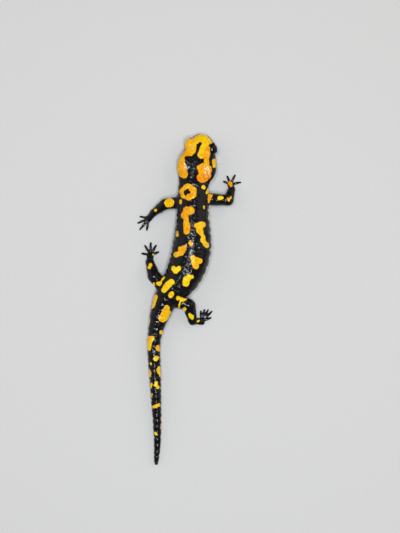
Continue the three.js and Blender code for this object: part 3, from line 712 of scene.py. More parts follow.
YELLOW = {
    "snout": (0.6, [(5.2, 89, 2.3), (8, 89.2, 2.52), (10.6, 87.5, 2.02), (11.4, 87.3, 1.59)]),
    "snout_right": (0.6, [(9.1, 86.9, 1.97), (8.8, 84.7, 2.02)]),
    "left_front": (0.48, [(1.5, 86.7, 2), (4, 88.2, 1.6), (4.3, 86.9, 1.1)]),
    "left_lid": (0.44, [(0.3, 86.1, 2.6), (0.7, 83.6, 2.84), (0.6, 81.6, 2.46)]),
    "left_lid_inner": (0.48, [(2.3, 85.7, 1.95), (2.2, 83.6, 1.85), (1.7, 81.7, 1.7)]),
    "left_temple": (0.36, [(0.8, 81.1, 1.86), (-1.6, 80.8, 1.69), (-3.3, 80, 1.35), (-4.1, 78.5, 1.3)]),
    "right_crown": (0.56, [(8, 83.4, 1.97), (7.3, 80.8, 2.35), (6.8, 79.8, 2.13)]),
    "right_lid": (0.28, [(9.7, 83, 1.97), (9.7, 80.8, 1.86), (9.5, 78.3, 1.58)]),
    "right_link": (0.48, [(9.5, 78.1, 1.47), (9.7, 76.1, 1.31), (10, 74.2, 1.2)]),
    "left_gland": (0.34, [(-4.2, 77.3, 2.05), (-4.4, 75, 2.25), (-4, 72.3, 2.45), (-3.2, 69.8, 2.35),
        (-2.4, 68.7, 1.75)]),
    "right_gland": (0.3, [(5.9, 72.8, 1.64), (8.1, 73.5, 1.8), (10.6, 72.4, 1.8)]),
    "right_gland_rear": (0.1, [(10.7, 71.1, 1.8), (9.6, 68.9, 2.4), (7.8, 67.3, 2.7), (6.9, 67.2, 2.6)]),
    "right_gland_middle": (0.24, [(6.9, 71.7, 1.96), (7.7, 69.3, 2.45)]),
    "right_cheek": (0.64, [(14.1, 76.3, 1.6), (13.9, 74.6, 1.3), (13.7, 73.6, 0.9)]),
    "nape_ring": (0.4, [(-0.3, 62.1, 1.8), (2.1, 60.5, 1.91), (2.2, 58, 1.85), (-0.2, 56.8, 1.9),
        (-2.3, 57.8, 1.96), (-3.3, 59.7, 1.74), (-1.6, 61.7, 1.58), (-0.3, 62.1, 1.8)]),
    "shoulder_left": (0.56, [(-4.5, 54.5, 0.76), (-4.6, 53.4, 0.71)]),
    "shoulder_right": (0.76, [(7.8, 62.1, 0.98), (8.3, 61.7, 0.93)]),
    "shoulder_right_b": (0.8, [(10.6, 61.2, 0.49), (10.7, 60.2, 0.82), (9.9, 59.3, 0.55),
        (9.5, 58.7, 0.38)]),
    "shoulder_right_c": (0.48, [(12.3, 57.7, 0.82), (11.5, 57.4, 1.09), (11.1, 55.7, 0.77),
        (10.9, 53.9, 0.44)]),
    "back_1": (0.8, [(8.2, 51.5, 0.65), (8.3, 50.4, 0.54)]),
    "back_2": (0.45, [(11.3, 46.6, 0.6), (11.6, 45.4, 0.85), (11.5, 44.2, 0.6)]),
    "comma_head": (0.28, [(0.8, 49.2, 2.28), (-1.2, 49.1, 2.23)]),
    "comma_stem": (0.24, [(-1.9, 47.6, 1.95), (-2.4, 46.5, 1.74), (-1.5, 44.3, 1.25), (-1.2, 41.6, 1.79),
        (-1.1, 38, 1.84)]),
    "left_flank": (0.48, [(-6.3, 37.6, 0.65), (-6.5, 36, 0.98)]),
    "wedge_top": (0.48, [(4.1, 41, 1.25), (6.3, 41.4, 1.63), (7.7, 41.5, 1.52)]),
    "wedge_stem": (0.62, [(5.8, 40.2, 1.9), (5.9, 38.3, 1.73), (6.9, 36.7, 1.14), (7.7, 35.1, 1.03),
        (7.6, 33.2, 1.25), (8.8, 31.1, 1.19), (9.8, 30, 1.14)]),
    "wedge_hook": (0.48, [(10.1, 30.2, 1.03), (10.5, 31.2, 0.54)]),
    "mid_eye": (0.52, [(0.7, 32.4, 0.65), (0.5, 31.4, 0.87), (1.3, 30.4, 0.76)]),
    "mid_eye_right": (0.24, [(1.9, 31.4, 0.43)]),
    "cloud": (0.36, [(-2.2, 29.5, 1.19), (-3.4, 28, 1.79), (-4.2, 26.3, 1.68)]),
    "cloud_left": (0.56, [(-4.6, 28.5, 1.3), (-3.4, 28, 1.73)]),
    "cloud_rear": (0.6, [(-5.1, 26, 1.35), (-6.9, 25.3, 1.52)]),
    "trefoil": (0.52, [(2.1, 23.7, 1.46), (3.6, 21.8, 2.06), (6.1, 21.8, 1.52)]),
    "trefoil_rear": (0.56, [(3.5, 21.2, 1.95), (3.8, 18.9, 1.68)]),
    "heart_left": (0.92, [(-8.2, 17.7, 1.41), (-7.2, 16.5, 1.68)]),
    "heart_right": (1, [(-5.4, 17.8, 1.25), (-7.2, 16.5, 1.68)]),
    "right_tilt": (0.84, [(-0.1, 13.6, 1.14), (-1.1, 12, 1.68), (-1.6, 9.9, 2.01)]),
    "right_tilt_ear": (0.8, [(-0.2, 12.3, 1.36), (1.7, 13.2, 0.98)]),
    "left_tilt": (0.74, [(-9.4, 10.3, 1.68), (-11.1, 9.1, 1.74), (-12.4, 7.5, 1.68), (-13.5, 6.1, 1.52)]),
    "left_egg": (0.8, [(-9.3, 4.3, 1.14), (-9.9, 3, 1.41)]),
    "hip": (0.72, [(-5.7, 1.4, 1.31), (-4.7, 1.2, 1.04)]),
    "hip_arm": (0.72, [(-4.6, 0.4, 0.66), (-3.2, 0.7, 0.76), (-1.2, 0.9, 0.33)]),
    "hip_stem": (0.72, [(-4.7, -0.2, 0.66), (-5.3, -2, 0.44), (-5.5, -3.6, 0.55)]),
    "left_strip": (0.68, [(-18.2, 2.1, 1.3), (-19.1, -0.1, 1.15), (-19.7, -2.1, 1.05),
        (-20.4, -3.8, 0.75)]),
    "rump": (0.56, [(-12, -4, 1.64), (-12.5, -6.3, 2.24), (-13.4, -8.5, 2.51), (-14.4, -9.4, 2.29)]),
    "rump_side": (0.52, [(-10.9, -6.5, 1.15), (-12.5, -6.8, 2.07)]),
    "tail_edge": (0.64, [(-22, -10.3, 0.7), (-22.2, -12.4, 0.6)]),
    "tail_1": (0.64, [(-15.2, -17.1, 0.99), (-15.4, -17.8, 0.77)]),
    "tail_2": (0.6, [(-19.9, -20.4, 1.2), (-21.7, -21.1, 1.75), (-21.9, -23.9, 1.4),
        (-21.9, -26.3, 1.2)]),
    "tail_3": (0.56, [(-17, -25.3, 1.1), (-17.1, -26.1, 1.1), (-16.3, -27.5, 0.44)]),
    "tail_4": (0.88, [(-18.2, -31.8, 1.42), (-17.6, -31.4, 1.26)]),
    "tail_5": (0.8, [(-21.1, -34.2, 0.55), (-20.8, -34.9, 0.49)]),
    "tail_6": (0.56, [(-21.8, -37.8, 0.44), (-21.4, -39.5, 0.72), (-21.4, -41.4, 0.5)]),
    "tail_7": (0.72, [(-16.3, -36.6, 0.6), (-16.9, -37.9, 0.99), (-16.5, -39.5, 0.71),
        (-15.8, -41.3, 0.33), (-15.6, -42.7, 0.27)]),
    "tail_8": (0.8, [(-17.9, -45, 0.88), (-18.3, -46.1, 0.88), (-17, -47.5, 0.88)]),
    "tail_9": (0.64, [(-20.6, -45.8, 0.55), (-21, -47.6, 0.5)]),
    "tail_10": (0.48, [(-20.4, -51.3, 0.44), (-20.6, -53.1, 0.39)]),
    "tail_11": (0.64, [(-19.4, -58.4, 0.82), (-17.9, -57.9, 0.82), (-16.6, -57.4, 0.99)]),
    "tail_12": (0.56, [(-15.3, -64.5, 0.33), (-15.3, -65.7, 0.19)]),
    "tail_12_rear": (0.64, [(-15.4, -67.9, 0.19), (-15.5, -70.3, 0.5)]),
    "tail_13": (0.88, [(-18.4, -73.1, 0.77), (-18, -73.5, 0.66)]),
    "left_arm": (0.56, [(-10.8, 54.1, 2.25), (-11, 53.6, 2.3), (-10.2, 53.6, 2.14)]),
    "left_wrist": (0.68, [(-18.4, 49.7, 0.83)]),
    "right_arm": (0.88, [(16.8, 56.2, 1.21), (18, 56.5, 1.04)]),
    "right_elbow": (0.56, [(21.2, 56.2, 0.44), (21.8, 55, 0.49), (22.8, 56.4, 0.41), (22.9, 57.3, 0.36)]),
    "right_hand": (0.36, [(22.7, 64.6, 1.27), (23.3, 63.3, 0.72)]),
    "left_toe": (0.8, [(-19.8, 25.3, 0.61)]),
    "left_shin": (0.72, [(-21.1, 19.6, 1.04), (-21.8, 18.3, 0.99)]),
    "left_thigh": (0.72, [(-17.2, 9.6, 0.77), (-16.2, 9.4, 0.99), (-15.6, 9.9, 0.71)]),
    "left_thigh_front": (0.88, [(-15, 10.9, 0.49), (-14.1, 12.5, 0.66), (-13.6, 13.3, 0.49)]),
    "left_knee": (0.8, [(-19.2, 9.8, 0.6), (-19.5, 8.3, 0.6), (-19.5, 7.1, 0.3)]),
    "right_thigh": (0.9, [(-2.4, -4.4, 1.05), (-3, -5.4, 0.95)]),
    "right_knee": (0.92, [(0.5, -7.5, 0.88), (1.4, -8.8, 1.15), (1.8, -9.7, 0.82)]),
    "right_foot": (0.72, [(4.8, -11.4, 0.55), (5.6, -11, 0.39)]),
}
BLACK = {
    "mid_bar": [(5.9, 86.6, 0.28), (5.5, 85.2, 0.75), (4.9, 83.4, 0.8), (4.4, 81.9, 0.6),
        (3.9, 80.5, 0.45), (3.5, 79.2, 0.66)],
    "nape_corner": [(-1.5, 78.2, 0.76), (-0.7, 77.4, 1.42), (2.4, 77.7, 1.47)],
    "nape_left": [(-0.2, 75.8, 1.91), (0.9, 72.3, 2.07), (1.6, 69.3, 2.18)],
    "nape_right": [(2.6, 77, 1.75), (2.4, 73.9, 1.69), (2.2, 70.4, 1.91)],
    "nape_comma": [(4.1, 76, 1.36), (5.8, 76.1, 1.09), (7.1, 76.5, 0.87)],
    "cheek_line": [(11.7, 78.1, 0.27), (12, 75.9, 0.33), (12.8, 72.8, 0.27)],
    "ring_hole": [(-0.8, 60.3, 0.87), (-1.5, 59.2, 1.14), (-1.8, 58.1, 0.65)],
    "ring_hole_right": [(-1, 59.5, 1.14), (0.2, 59.2, 0.87)],
}
# Small spots low on the flanks and under the throat, which a view from above doesn't show:
# distance back, distance out from the middle round the flank, radius.
LOW_SPOTS = [
    (12, 12.4, 1.1), (12.8, -12.2, 1.3), (21, 15.4, 1.0), (24, -13.2, 0.9), (37, 12.2, 0.8),
    (44, -13.4, 1.1), (49.5, 14.6, 1.0), (53, 13.6, 0.7), (57, -15.2, 0.9), (66, 15.4, 1.2),
    (71, -14.6, 1.2), (74, -15.6, 0.8), (79, 14.2, 0.8), (108, -8.0, 0.7), (117, 6.2, 0.6),
    (131, -5.6, 0.6), (147, 4.9, 0.5), (3.0, -7.4, 0.9),
]
LOW_TONE = 0.5
LOW_LENGTH = 0.8  # a low spot's length along the body, as a share of its width round it
APART = 6.0  # how far the low spots are kept from the limbs
STROKE_BLEND, MARK_BLEND = 0.8, 0.3  # between a chain's strokes, and between marks
TONE_REACH = 0.5  # how far one mark's tone carries into the next one's
FAR_OFF = 9.0  # farther than any mark matters
FRONT = 7.0  # the sides are laid out from here round the snout, and straight out behind it
WALL = {"from": 0.45, "slope": 0.35}  # marks run out slowly down the steep part of the sides
EDGE_WAVES = [(0.19, 1.7, 21), (0.14, 0.8, 22)]  # height, size and seed of the marks' edges
EDGE_LEVEL = 0.35  # share of those waves on the sides, where the skin is upright
UNDER_LIMB = 3.0  # how far the marks of the limbs keep off their undersides


def chain_distance(xy, chain):
    """Distance in plan to the edge of a chain of round strokes, less than 0 inside."""
    x, y = xy.T
    if len(chain) == 1:
        x0, y0, r0 = chain[0]
        return np.hypot(x - x0, y - y0) - r0
    best = None
    for (x0, y0, r0), (x1, y1, r1) in zip(chain[:-1], chain[1:]):
        dx, dy = x1 - x0, y1 - y0
        t = np.clip(((x - x0) * dx + (y - y0) * dy) / (dx * dx + dy * dy), 0, 1)
        d = np.hypot(x - x0 - t * dx, y - y0 - t * dy) - (r0 + t * (r1 - r0))
        best = d if best is None else soft_pair(best, d, STROKE_BLEND)
    return best


def yellow_marks(plan_xy, low_xy, on_limb):
    """Each mark's distance and tone."""
    for tone, chain in YELLOW.values():
        yield chain_distance(plan_xy, chain), tone
    for back, out, radius in LOW_SPOTS:
        away = np.hypot(low_xy[:, 0] - back, (low_xy[:, 1] - out) * LOW_LENGTH) - radius
        yield away + APART * on_limb, LOW_TONE


def markings(plan_xy, low_xy, on_limb):
    """Distance to the edge of the yellow, less than 0 in it, and its tone."""
    nearest, black = np.full((2, len(plan_xy)), FAR_OFF)
    weights = np.full(len(plan_xy), 1e-9)
    tones = 0.5 * weights
    for away, tone in yellow_marks(plan_xy, low_xy, on_limb):
        nearest = soft_pair(nearest, away, MARK_BLEND)
        weight = np.exp(-away / TONE_REACH)
        tones += tone * weight
        weights += weight
    for chain in BLACK.values():
        black = soft_pair(black, chain_distance(plan_xy, chain), MARK_BLEND)
    return np.maximum(nearest, -black), tones / weights


def laid_out(points, back, out, on_limb):
    """Places in plan and on the body, as if the skin below the widest level lay flat round it."""
    clipped = np.clip(back, 0, BODY_LENGTH)
    middle, right, _ = spine_at(np.maximum(clipped, FRONT))
    ahead = np.maximum(FRONT - clipped, 0)
    edge_backs = np.linspace(0, FRONT, 60)
    edge_halves = eased(HALF, edge_backs)
    edge_turns = np.arctan2(edge_halves, FRONT - edge_backs)
    edge_reach = np.hypot(edge_halves, FRONT - edge_backs)
    front_reach = np.interp(np.arctan2(np.abs(out), ahead), edge_turns, edge_reach)
    reach = np.where(ahead > 0, front_reach, eased(HALF, clipped))
    widest = eased(WIDEST, clipped)
    wall_top = widest + WALL["from"] * (eased(TOP, clipped) - widest)
    wall = WALL["slope"] * np.clip(wall_top - np.maximum(points[:, 2], widest), 0, None)
    drop = np.clip(widest - points[:, 2], 0, None)
    under = 2 * np.clip(reach - np.hypot(out, ahead), 0, None) * rise("drop", drop)
    further = (wall + drop + under) * (1 - on_limb)
    offset = points[:, :2] - middle
    straight = right * np.sign(out)[:, None]
    radial = offset / np.maximum(np.linalg.norm(offset, axis=1, keepdims=True), 1e-6)
    direction = np.where(ahead[:, None] > 0, radial, straight)
    low_xy = np.stack([back, out + np.sign(out) * further], -1)
    return points[:, :2] + direction * further[:, None], low_xy


# ---- the skin's relief

# Waves: the share of the skin that has them, height, size and seed. One size is the same all
# ways, and three are along the body, across it and up.
WAVES = [
    ("grain", 1.0, 1.0, 1), ("all", 0.011, 0.5, 2), ("trunk", 0.10, (1.1, 2.6, 2.2), 3),
    ("flank", 0.10, (0.75, 3.0, 2.4), 4), ("tail", 0.05, (0.6, 2.0, 2.0), 6),
    ("throat", 0.05, (0.8, 2.4, 1.0), 7), ("limb", 0.07, 1.1, 8), ("limb", 0.035, 0.55, 9),
    ("head", 0.022, 1.8, 10), ("neck", 0.12, (0.8, 3.4, 3.0), 11),
]
GRAIN_BODY, GRAIN_HEAD = 0.085, 0.015  # heights
NECK = {"back": 30, "half": 2.6}
GLAND_ROW = {"out": 1.0, "to_a_rib": 3, "stray_out": 0.25, "stray_back": 0.2, "height": 0.13,
             "spread": 0.16, "seed": 5}
PORE_ROWS, PORE_COLUMNS = range(-4, 5), range(7)
# The glands' pores: gaps along the gland and in turn, millimetres to a turn, stray, radii.
PORE = {"back": 1.5, "turn": 0.36, "round": 3.4, "stray": 0.4, "radius": (0.13, 0.21)}
# Lone pores: how many, from and to along the body, how far out, radii, depth.
LONE_PORES = [(150, (1.5, 12.5), 7.5, (0.07, 0.11), 0.6), (260, (31, 150), 8, (0.12, 0.18), 0.8)]
PORE_DEPTH = 0.09
QUIET = 0.85  # share of the relief that is lost along the mouth
HIGHEST = 0.25  # most that the relief may stand out
SEED = 7


def gland_rows(back, out, top):
    """Two rows of small poison glands beside the middle of the back."""
    pitch = COSTAL["pitch"] / GLAND_ROW["to_a_rib"]
    place = (back - COSTAL["first"]) / pitch
    which = np.round(place).astype(np.int64)
    stray = lattice(which, which * 3, which * 0, GLAND_ROW["seed"]) - 0.5
    near = (place - np.round(place)) * pitch + GLAND_ROW["stray_back"] * stray
    height = GLAND_ROW["height"] * rise("glands_start", back) * (1 - rise("glands_end", back)) * top
    relief = 0
    for side in SIDES:
        aside = out - side * (GLAND_ROW["out"] + GLAND_ROW["stray_out"] * stray)
        relief = relief + height * np.exp(-(near ** 2 + aside ** 2) / GLAND_ROW["spread"])
    return relief


def pit(away_squared, radius):
    return np.exp(-away_squared / (2 * radius * radius))


def gland_pores(points, back, out, chance):
    """The openings of the glands behind the eyes, over each gland from its outer side inwards."""
    pores = np.zeros(len(points))
    turn = np.arctan2(points[:, 2] - PAROTOID["height"], np.abs(out) - PAROTOID["out"])
    for side in SIDES:
        here = side * out > 0
        for row in PORE_ROWS:
            for column in PORE_COLUMNS:
                row_stray, column_stray = chance.uniform(-PORE["stray"], PORE["stray"], 2)
                b = PAROTOID["back"] + PORE["back"] * (row + row_stray)
                t = PORE["turn"] * (column + column_stray)
                away = (back - b) ** 2 + (PORE["round"] * (turn - t)) ** 2
                pores = np.maximum(pores, here * pit(away, chance.uniform(*PORE["radius"])))
    return pores


def relief_of(points, normals, back, out, on_limb):
    """Height of the skin over its plain form, in millimetres, and how deep its pores are, with the
    nostril openings added as painted shade.
    """
    off_limb = 1 - on_limb
    up = np.clip(normals[:, 2], 0, 1)
    head = 1 - rise("nape", back)
    trunk = (1 - head) * off_limb
    out_share = np.abs(out) / eased(HALF, np.clip(back, 0, BODY_LENGTH))
    share = {
        "all": 1, "head": head, "trunk": trunk, "limb": on_limb,
        "grain": GRAIN_BODY + (GRAIN_HEAD - GRAIN_BODY) * head,
        "flank": rise("flank", out_share) * trunk, "tail": rise("tail", back) * off_limb,
        "throat": rise("throat", -normals[:, 2]) * head,
        "neck": np.exp(-((back - NECK["back"]) / NECK["half"]) ** 2) * off_limb,
    }
    own = np.stack([back, out, points[:, 2]], -1)
    relief = trunk * gland_rows(back, out, rise("gland_top", up))
    for where, height, size, seed in WAVES:
        places = own if isinstance(size, tuple) else points
        relief += share[where] * height * noise(places, size, seed)
    chance = np.random.default_rng(SEED)
    pores = gland_pores(points, back, out, chance)
    open_skin = rise("flat", up) * off_limb
    for count, (first, last), reach, radii, depth in LONE_PORES:
        for _ in range(count):
            b, o = chance.uniform(first, last), chance.uniform(-reach, reach)
            hole = pit((back - b) ** 2 + (out - o) ** 2, chance.uniform(*radii))
            pores = np.maximum(pores, depth * hole * open_skin)
    relief -= PORE_DEPTH * pores
    # Painted shade: the nostril openings are counted as pores, so they take the pores' dark colour.
    for side in SIDES:
        away = np.linalg.norm(points - beside(NOSTRIL, side), axis=1)
        pores = np.maximum(pores, 1 - rise("nostril", away))
    return relief, pores


# ---- the pieces' meshes

def placed(name, data):
    thing = bpy.data.objects.new(name, data)
    bpy.context.collection.objects.link(thing)
    return thing


def piece(name, mesh, **values):
    """A smooth object in the scene, with values at its mesh's points."""
    mesh.polygons.foreach_set("use_smooth", np.ones(len(mesh.polygons), bool))
    for key, value in values.items():
        attribute = mesh.attributes.new(key, "FLOAT", "POINT")
        attribute.data.foreach_set("value", value.astype(np.float32))
    return placed(name, mesh)


def make_skin():
    points, quads, triangles = whole_skin()
    normals = point_normals(points, quads, triangles)
    back, out = body_places(points)
    clipped = np.clip(back, 0, BODY_LENGTH)
    off = np.abs(out) - eased(HALF, clipped)
    on_limb = rise("off_body", off) * np.maximum(rise("behind_head", back), rise("far_off", off))
    mark, tone = markings(*laid_out(points, back, out, on_limb), on_limb)
    mark += on_limb * np.clip(-normals[:, 2], 0, 1) * UNDER_LIMB
    level = EDGE_LEVEL + (1 - EDGE_LEVEL) * np.abs(normals[:, 2])
    mark += level * sum(height * noise(points, size, seed) for height, size, seed in EDGE_WAVES)
    # pores also holds the painted shade of the nostril openings.
    relief, pores = relief_of(points, normals, back, out, on_limb)
    eyes = [np.linalg.norm(points - beside(EYE, side), axis=1) for side in SIDES]
    mouth = np.abs(points[:, 2] - mouth_height(clipped) - CLEFT["over"])
    quiet = (1 - rise("round_mouth", mouth)) * (1 - rise("mouth_corner", back))
    relief *= rise("round_eye", np.min(eyes, 0)) * (1 - QUIET * quiet)
    relief = np.minimum(relief * rise("off_floor", points[:, 2]), HIGHEST)
    points = points + normals * relief[:, None]
    points[:, 2] = np.maximum(points[:, 2], 0)

    mesh = bpy.data.meshes.new("skin")
    corners = np.concatenate([quads.ravel(), triangles.ravel()]).astype(np.int32)
    first = np.arange(len(quads)) * 4, len(quads) * 4 + np.arange(len(triangles)) * 3
    starts = np.concatenate(first).astype(np.int32)
    mesh.vertices.add(len(points))
    mesh.vertices.foreach_set("co", (points * MM).astype(np.float32).ravel())
    mesh.loops.add(len(corners))
    mesh.loops.foreach_set("vertex_index", corners)
    mesh.polygons.add(len(starts))
    mesh.polygons.foreach_set("loop_start", starts)
    mesh.update(calc_edges=True)
    mesh.validate()
    under = rise("underside", -normals[:, 2]) * (1 - on_limb)
    return piece("skin", mesh, mark=mark, tone=tone, pore=pores, under=under)


def make_eye(name, side):
    """An eyeball with its clear bulge over the iris, and how far each point is from the gaze."""
    centre, along, lift, out = eye_axes(side)
    turns = np.linspace(0, np.pi, EYEBALL["rows"] + 1)[1:-1]
    angles = ring_angles(EYEBALL["around"], 0)[:, None]
    radius = EYE["radius"] - EYEBALL["slack"]
    reach = radius + EYEBALL["bulge"] * np.exp(-(turns / EYEBALL["bulge_width"]) ** 4)
    round_gaze = np.cos(angles) * along + np.sin(angles) * lift
    rings = centre + np.outer(np.cos(turns) * reach, out)[:, None]
    rings = rings + (np.sin(turns) * reach)[:, None, None] * round_gaze
    points, faces = skin_over(rings, centre + out * reach[0], centre - out * radius)
    mesh = bpy.data.meshes.new(name)
    mesh.from_pydata((points * MM).tolist(), [], faces.tolist())
    mesh.update()
    mesh.flip_normals()  # the rings go back from the gaze, so their faces look inwards
    away = points - centre
    away /= np.linalg.norm(away, axis=1)[:, None]
    return piece(name, mesh, from_gaze=np.degrees(np.arccos(np.clip(away @ out, -1, 1))))


# ---- materials

COLOURS = {
    "orange": (0.82, 0.225, 0.002), "lemon": (0.92, 0.72, 0.006),
    "orange_specks": (0.76, 0.22, 0.002), "rim": (0.48, 0.17, 0.006),
    # the pores' colour, which also paints shade into the nostril openings
    "pore": (0.17, 0.045, 0.003), "black": (0.0026, 0.0023, 0.0028),
    "soft_black": (0.006, 0.0055, 0.007), "grey_specks": (0.014, 0.012, 0.013),
    "underside": (0.030, 0.027, 0.030), "iris_dark": (0.010, 0.006, 0.004),
    "iris": (0.060, 0.032, 0.014), "pupil": (0.0015, 0.0012, 0.0012),
    "eye_edge": (0.006, 0.005, 0.005), "floor": (0.60, 0.595, 0.585),
    "floor_light": (0.62, 0.615, 0.605),
}
# Noises: scale to a metre, detail, roughness.
NOISES = {
    "wobble": (850, 3.0, 0.5), "broad": (180, 2.0, 0.5), "fine": (2600, 4.0, 0.6),
    "mottle": (560, 3.0, 0.65), "eye": (3800, 4.0, 0.5), "floor": (900, 3.0, 0.5),
}
GRANULES = {"Scale": 1700, "Smoothness": 1.0}
# Spans that a value is read between, and what it comes to at their ends, if not 0 and 1.
SPANS = {
    "yellow": (0.06, -0.06), "rim": (-0.34, -0.02), "tone": (0, 1),
    "broad_tone": (0.3, 0.7, -0.08, 0.14), "mottle_tone": (0.42, 0.68, 0.08, -0.30),
    "orange_specks": (0.4, 0.8, 0.0, 0.22), "soft_black": (0.3, 0.7),
    "grey_specks": (0.5, 0.8, 0.0, 0.5), "wet": (0.35, 0.65, 0.05, 0.17),
    "damp": (0.35, 0.65, 0.08, 0.22), "gaze_waver": (0.2, 0.8, -3, 3), "iris": (0.35, 0.7),
    "pupil": (24, 30), "eye_edge": (46, 56), "eye_rough": (0.2, 0.8, 0.03, 0.07),
    "floor": (0.3, 0.7), "floor_rough": (0.3, 0.7, 0.75, 0.85),
}
EDGE_WOBBLE = (0.3, -0.15)  # times the noise, and added
RIM_SHARE, PORE_AND_NOSTRIL_SHADE_SHARE, UNDER_SHARE = 0.5, 0.85, 0.7
# Strength and height in metres of the finest bumps.
GRANULE_BUMP, FINE_BUMP, EYE_BUMP = (0.14, 0.00012), (0.12, 0.00010), (0.05, 0.00004)
WATER_IOR = 1.33


class Paint:
    """A material's nodes. A colour is given by its name."""

    def __init__(self, name):
        self.material = bpy.data.materials.new(name)
        self.material.use_nodes = True
        self.nodes = self.material.node_tree.nodes
        self.where = self.put("TexCoord").outputs["Object"]

    def plug(self, socket, value):
        if isinstance(value, bpy.types.NodeSocket):
            self.material.node_tree.links.new(value, socket)
        else:
            socket.default_value = (*COLOURS[value], 1) if isinstance(value, str) else value

    def put(self, kind, *values, **settings):
        """A node with settings, and with values for the first of its inputs."""
        node = self.nodes.new("ShaderNode" + kind)
        for key, value in settings.items():
            setattr(node, key, value)
        for socket, value in zip(node.inputs, values):
            self.plug(socket, value)
        return node

    def fill(self, node, **inputs):
        for key, value in inputs.items():
            self.plug(node.inputs[key.replace("_", " ")], value)
        return node.outputs

    def surface(self, **inputs):
        self.fill(self.nodes["Principled BSDF"], **inputs)

    def attribute(self, name):
        return self.put("Attribute", attribute_name=name).outputs["Fac"]

    def noise(self, name):
        scale, detail, roughness = NOISES[name]
        node = self.put("TexNoise")
        return self.fill(node, Vector=self.where, Scale=scale, Detail=detail,
                         Roughness=roughness)["Fac"]

    def span(self, value, name, kind="SMOOTHSTEP"):
        ends = SPANS[name] if len(SPANS[name]) == 4 else (*SPANS[name], 0, 1)
        return self.put("MapRange", value, *ends, interpolation_type=kind).outputs["Result"]

    def math(self, operation, *values):
        return self.put("Math", *values, operation=operation).outputs[0]

    def mix(self, share, a, b, kind="RGBA"):
        node = self.put("Mix", data_type="FLOAT" if kind == "VALUE" else kind)
        ends = [socket for socket in node.inputs if socket.type == kind][-2:]
        for socket, value in zip((node.inputs["Factor"], *ends), (share, a, b)):
            self.plug(socket, value)
        return next(socket for socket in node.outputs if socket.type == kind)

    def bump(self, height, size, **inputs):
        strength, distance = size
        return self.fill(self.put("Bump"), Strength=strength, Distance=distance, Height=height,
                         **inputs)["Normal"]


def skin_material():
    paint = Paint("salamander_skin")
    wobble, broad, fine, mottle = map(paint.noise, ("wobble", "broad", "fine", "mottle"))
    mark, tone, pore, under = map(paint.attribute, ("mark", "tone", "pore", "under"))
    granules = paint.put("TexVoronoi", feature="SMOOTH_F1")
    granules = paint.fill(granules, Vector=paint.where, **GRANULES)["Distance"]
    edge = paint.math("ADD", mark, paint.math("MULTIPLY_ADD", wobble, *EDGE_WOBBLE))
    yellow = paint.span(edge, "yellow")
    rim = paint.math("MULTIPLY", paint.span(edge, "rim"), RIM_SHARE)

    uneven = paint.math("ADD", paint.span(broad, "broad_tone"), paint.span(mottle, "mottle_tone"))
    hue = paint.span(paint.math("ADD", tone, uneven), "tone", "LINEAR")
    bright = paint.mix(hue, "orange", "lemon")
    bright = paint.mix(paint.span(fine, "orange_specks"), bright, "orange_specks")
    bright = paint.mix(rim, bright, "rim")
    # Dark pores on the yellow, and painted shade in the nostril openings.
    bright = paint.mix(paint.math("MULTIPLY", pore, PORE_AND_NOSTRIL_SHADE_SHARE), bright, "pore")
    dark = paint.mix(paint.span(broad, "soft_black"), "black", "soft_black")
    dark = paint.mix(paint.span(fine, "grey_specks"), dark, "grey_specks")
    dark = paint.mix(paint.math("MULTIPLY", under, UNDER_SHARE), dark, "underside")
    rough = paint.mix(yellow, paint.span(wobble, "wet"), paint.span(wobble, "damp"), "VALUE")
    bumps = paint.bump(fine, FINE_BUMP, Normal=paint.bump(granules, GRANULE_BUMP))
    paint.surface(Base_Color=paint.mix(yellow, dark, bright), Roughness=rough, IOR=WATER_IOR,
                  Normal=bumps)
    return paint.material


def eye_material():
    paint = Paint("salamander_eye")
    grain = paint.noise("eye")
    waver = paint.math("ADD", paint.attribute("from_gaze"), paint.span(grain, "gaze_waver"))
    iris = paint.mix(paint.span(grain, "iris"), "iris_dark", "iris")
    inner = paint.mix(paint.span(waver, "pupil"), "pupil", iris)
    colour = paint.mix(paint.span(waver, "eye_edge"), inner, "eye_edge")
    paint.surface(Base_Color=colour, Roughness=paint.span(grain, "eye_rough"), Coat_Weight=1.0,
                  Coat_Roughness=0.02, Normal=paint.bump(grain, EYE_BUMP))
    return paint.material


def floor_material():
    paint = Paint("pale_floor")
    grain = paint.noise("floor")
    paint.surface(Base_Color=paint.mix(paint.span(grain, "floor"), "floor", "floor_light"),
                  Roughness=paint.span(grain, "floor_rough"))
    return paint.material


# ---- the animal

skin = make_skin()
skin.data.materials.append(skin_material())
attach(skin, "root")
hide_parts(*[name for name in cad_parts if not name.endswith("_eye")])

wet_eye = eye_material()
for eye_side, eye_name in ((-1, "left_eye"), (1, "right_eye")):
    eyeball = make_eye(eye_name + "_wet", eye_side)
    eyeball.data.materials.append(wet_eye)
    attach(eyeball, "root")
    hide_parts(eye_name)

# ---- stage, lights and camera, in metres

FLOOR_HALF, FLOOR_LEVEL = 0.8, -0.00003  # just under the animal's flats
floor_mesh = bpy.data.meshes.new("floor")
corner_ring = [(-1, -1), (1, -1), (1, 1), (-1, 1)]
floor_corners = [(x * FLOOR_HALF, y * FLOOR_HALF, FLOOR_LEVEL) for x, y in corner_ring]
floor_mesh.from_pydata(floor_corners, [], [(0, 1, 2, 3)])
floor_mesh.materials.append(floor_material())
floor = placed("floor", floor_mesh)

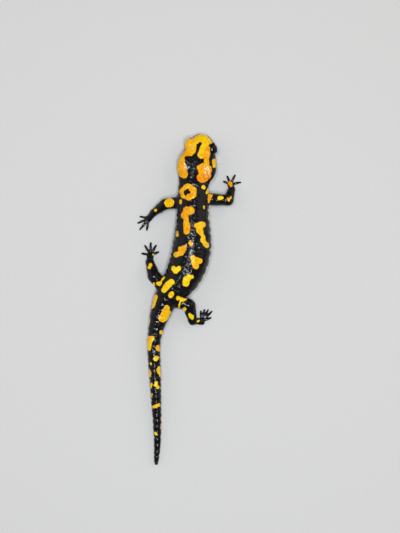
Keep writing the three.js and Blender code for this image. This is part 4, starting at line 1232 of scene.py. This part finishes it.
SKY, GLADE = (0.90, 0.95, 1.0), (1.0, 0.92, 0.80)
# Each light's place, size, power and colour; they all face the origin.
LIGHTS = {
    "overhead_0": ((0.05, -0.03, 1.0), (0.115, 0.115), 2.9, SKY),
    "overhead_1": ((-0.13, 0.14, 1.0), (0.115, 0.115), 2.9, SKY),
    "overhead_2": ((0.12, -0.22, 1.0), (0.115, 0.115), 2.9, SKY),
    "left": ((-0.95, 0.2, 0.55), (1.3, 1.1), 2.8, GLADE),
    "right_back": ((0.9, 0.4, 0.65), (1.3, 1.1), 4.1, GLADE),
}
for light_name, (place, size, power, colour) in LIGHTS.items():
    light = bpy.data.lights.new(light_name, "AREA")
    light.shape = "RECTANGLE"
    light.size, light.size_y = size
    light.energy, light.color = power, colour
    box = placed(light_name, light)
    box.location = place
    box.rotation_mode = "QUATERNION"
    box.rotation_quaternion = (-Vector(place)).to_track_quat("-Z", "Y")

world = bpy.data.worlds.new("soft_room")
world.use_nodes = True
room = world.node_tree.nodes["Background"].inputs
room["Color"].default_value = (1.0, 0.97, 0.93, 1)
room["Strength"].default_value = 0.16
bpy.context.scene.world = world
bpy.context.scene.view_settings.view_transform = "Standard"

# The camera looks straight down, with the head towards the top of its frame.
FRAME_WIDE, FRAME_HIGH = 400, 533
SCALE = 0.55  # millimetres of the animal's level to one of the frame's points
LEVEL = 5.0  # height that the scale holds at
ORIGIN_AT = (189.0, 300.7)  # the frame's point over the origin
camera_data = bpy.data.cameras.new("camera")
camera_data.lens, camera_data.sensor_width = 85, 36
camera_data.sensor_fit = "AUTO"
camera_data.clip_start, camera_data.clip_end = 0.05, 5
camera = placed("camera", camera_data)
distance = FRAME_HIGH * SCALE * camera_data.lens / camera_data.sensor_width
centre_x = (FRAME_WIDE / 2 - ORIGIN_AT[0]) * SCALE
centre_y = (ORIGIN_AT[1] - FRAME_HIGH / 2) * SCALE
camera.location = (centre_x * MM, centre_y * MM, (LEVEL + distance) * MM)
bpy.context.scene.camera = camera
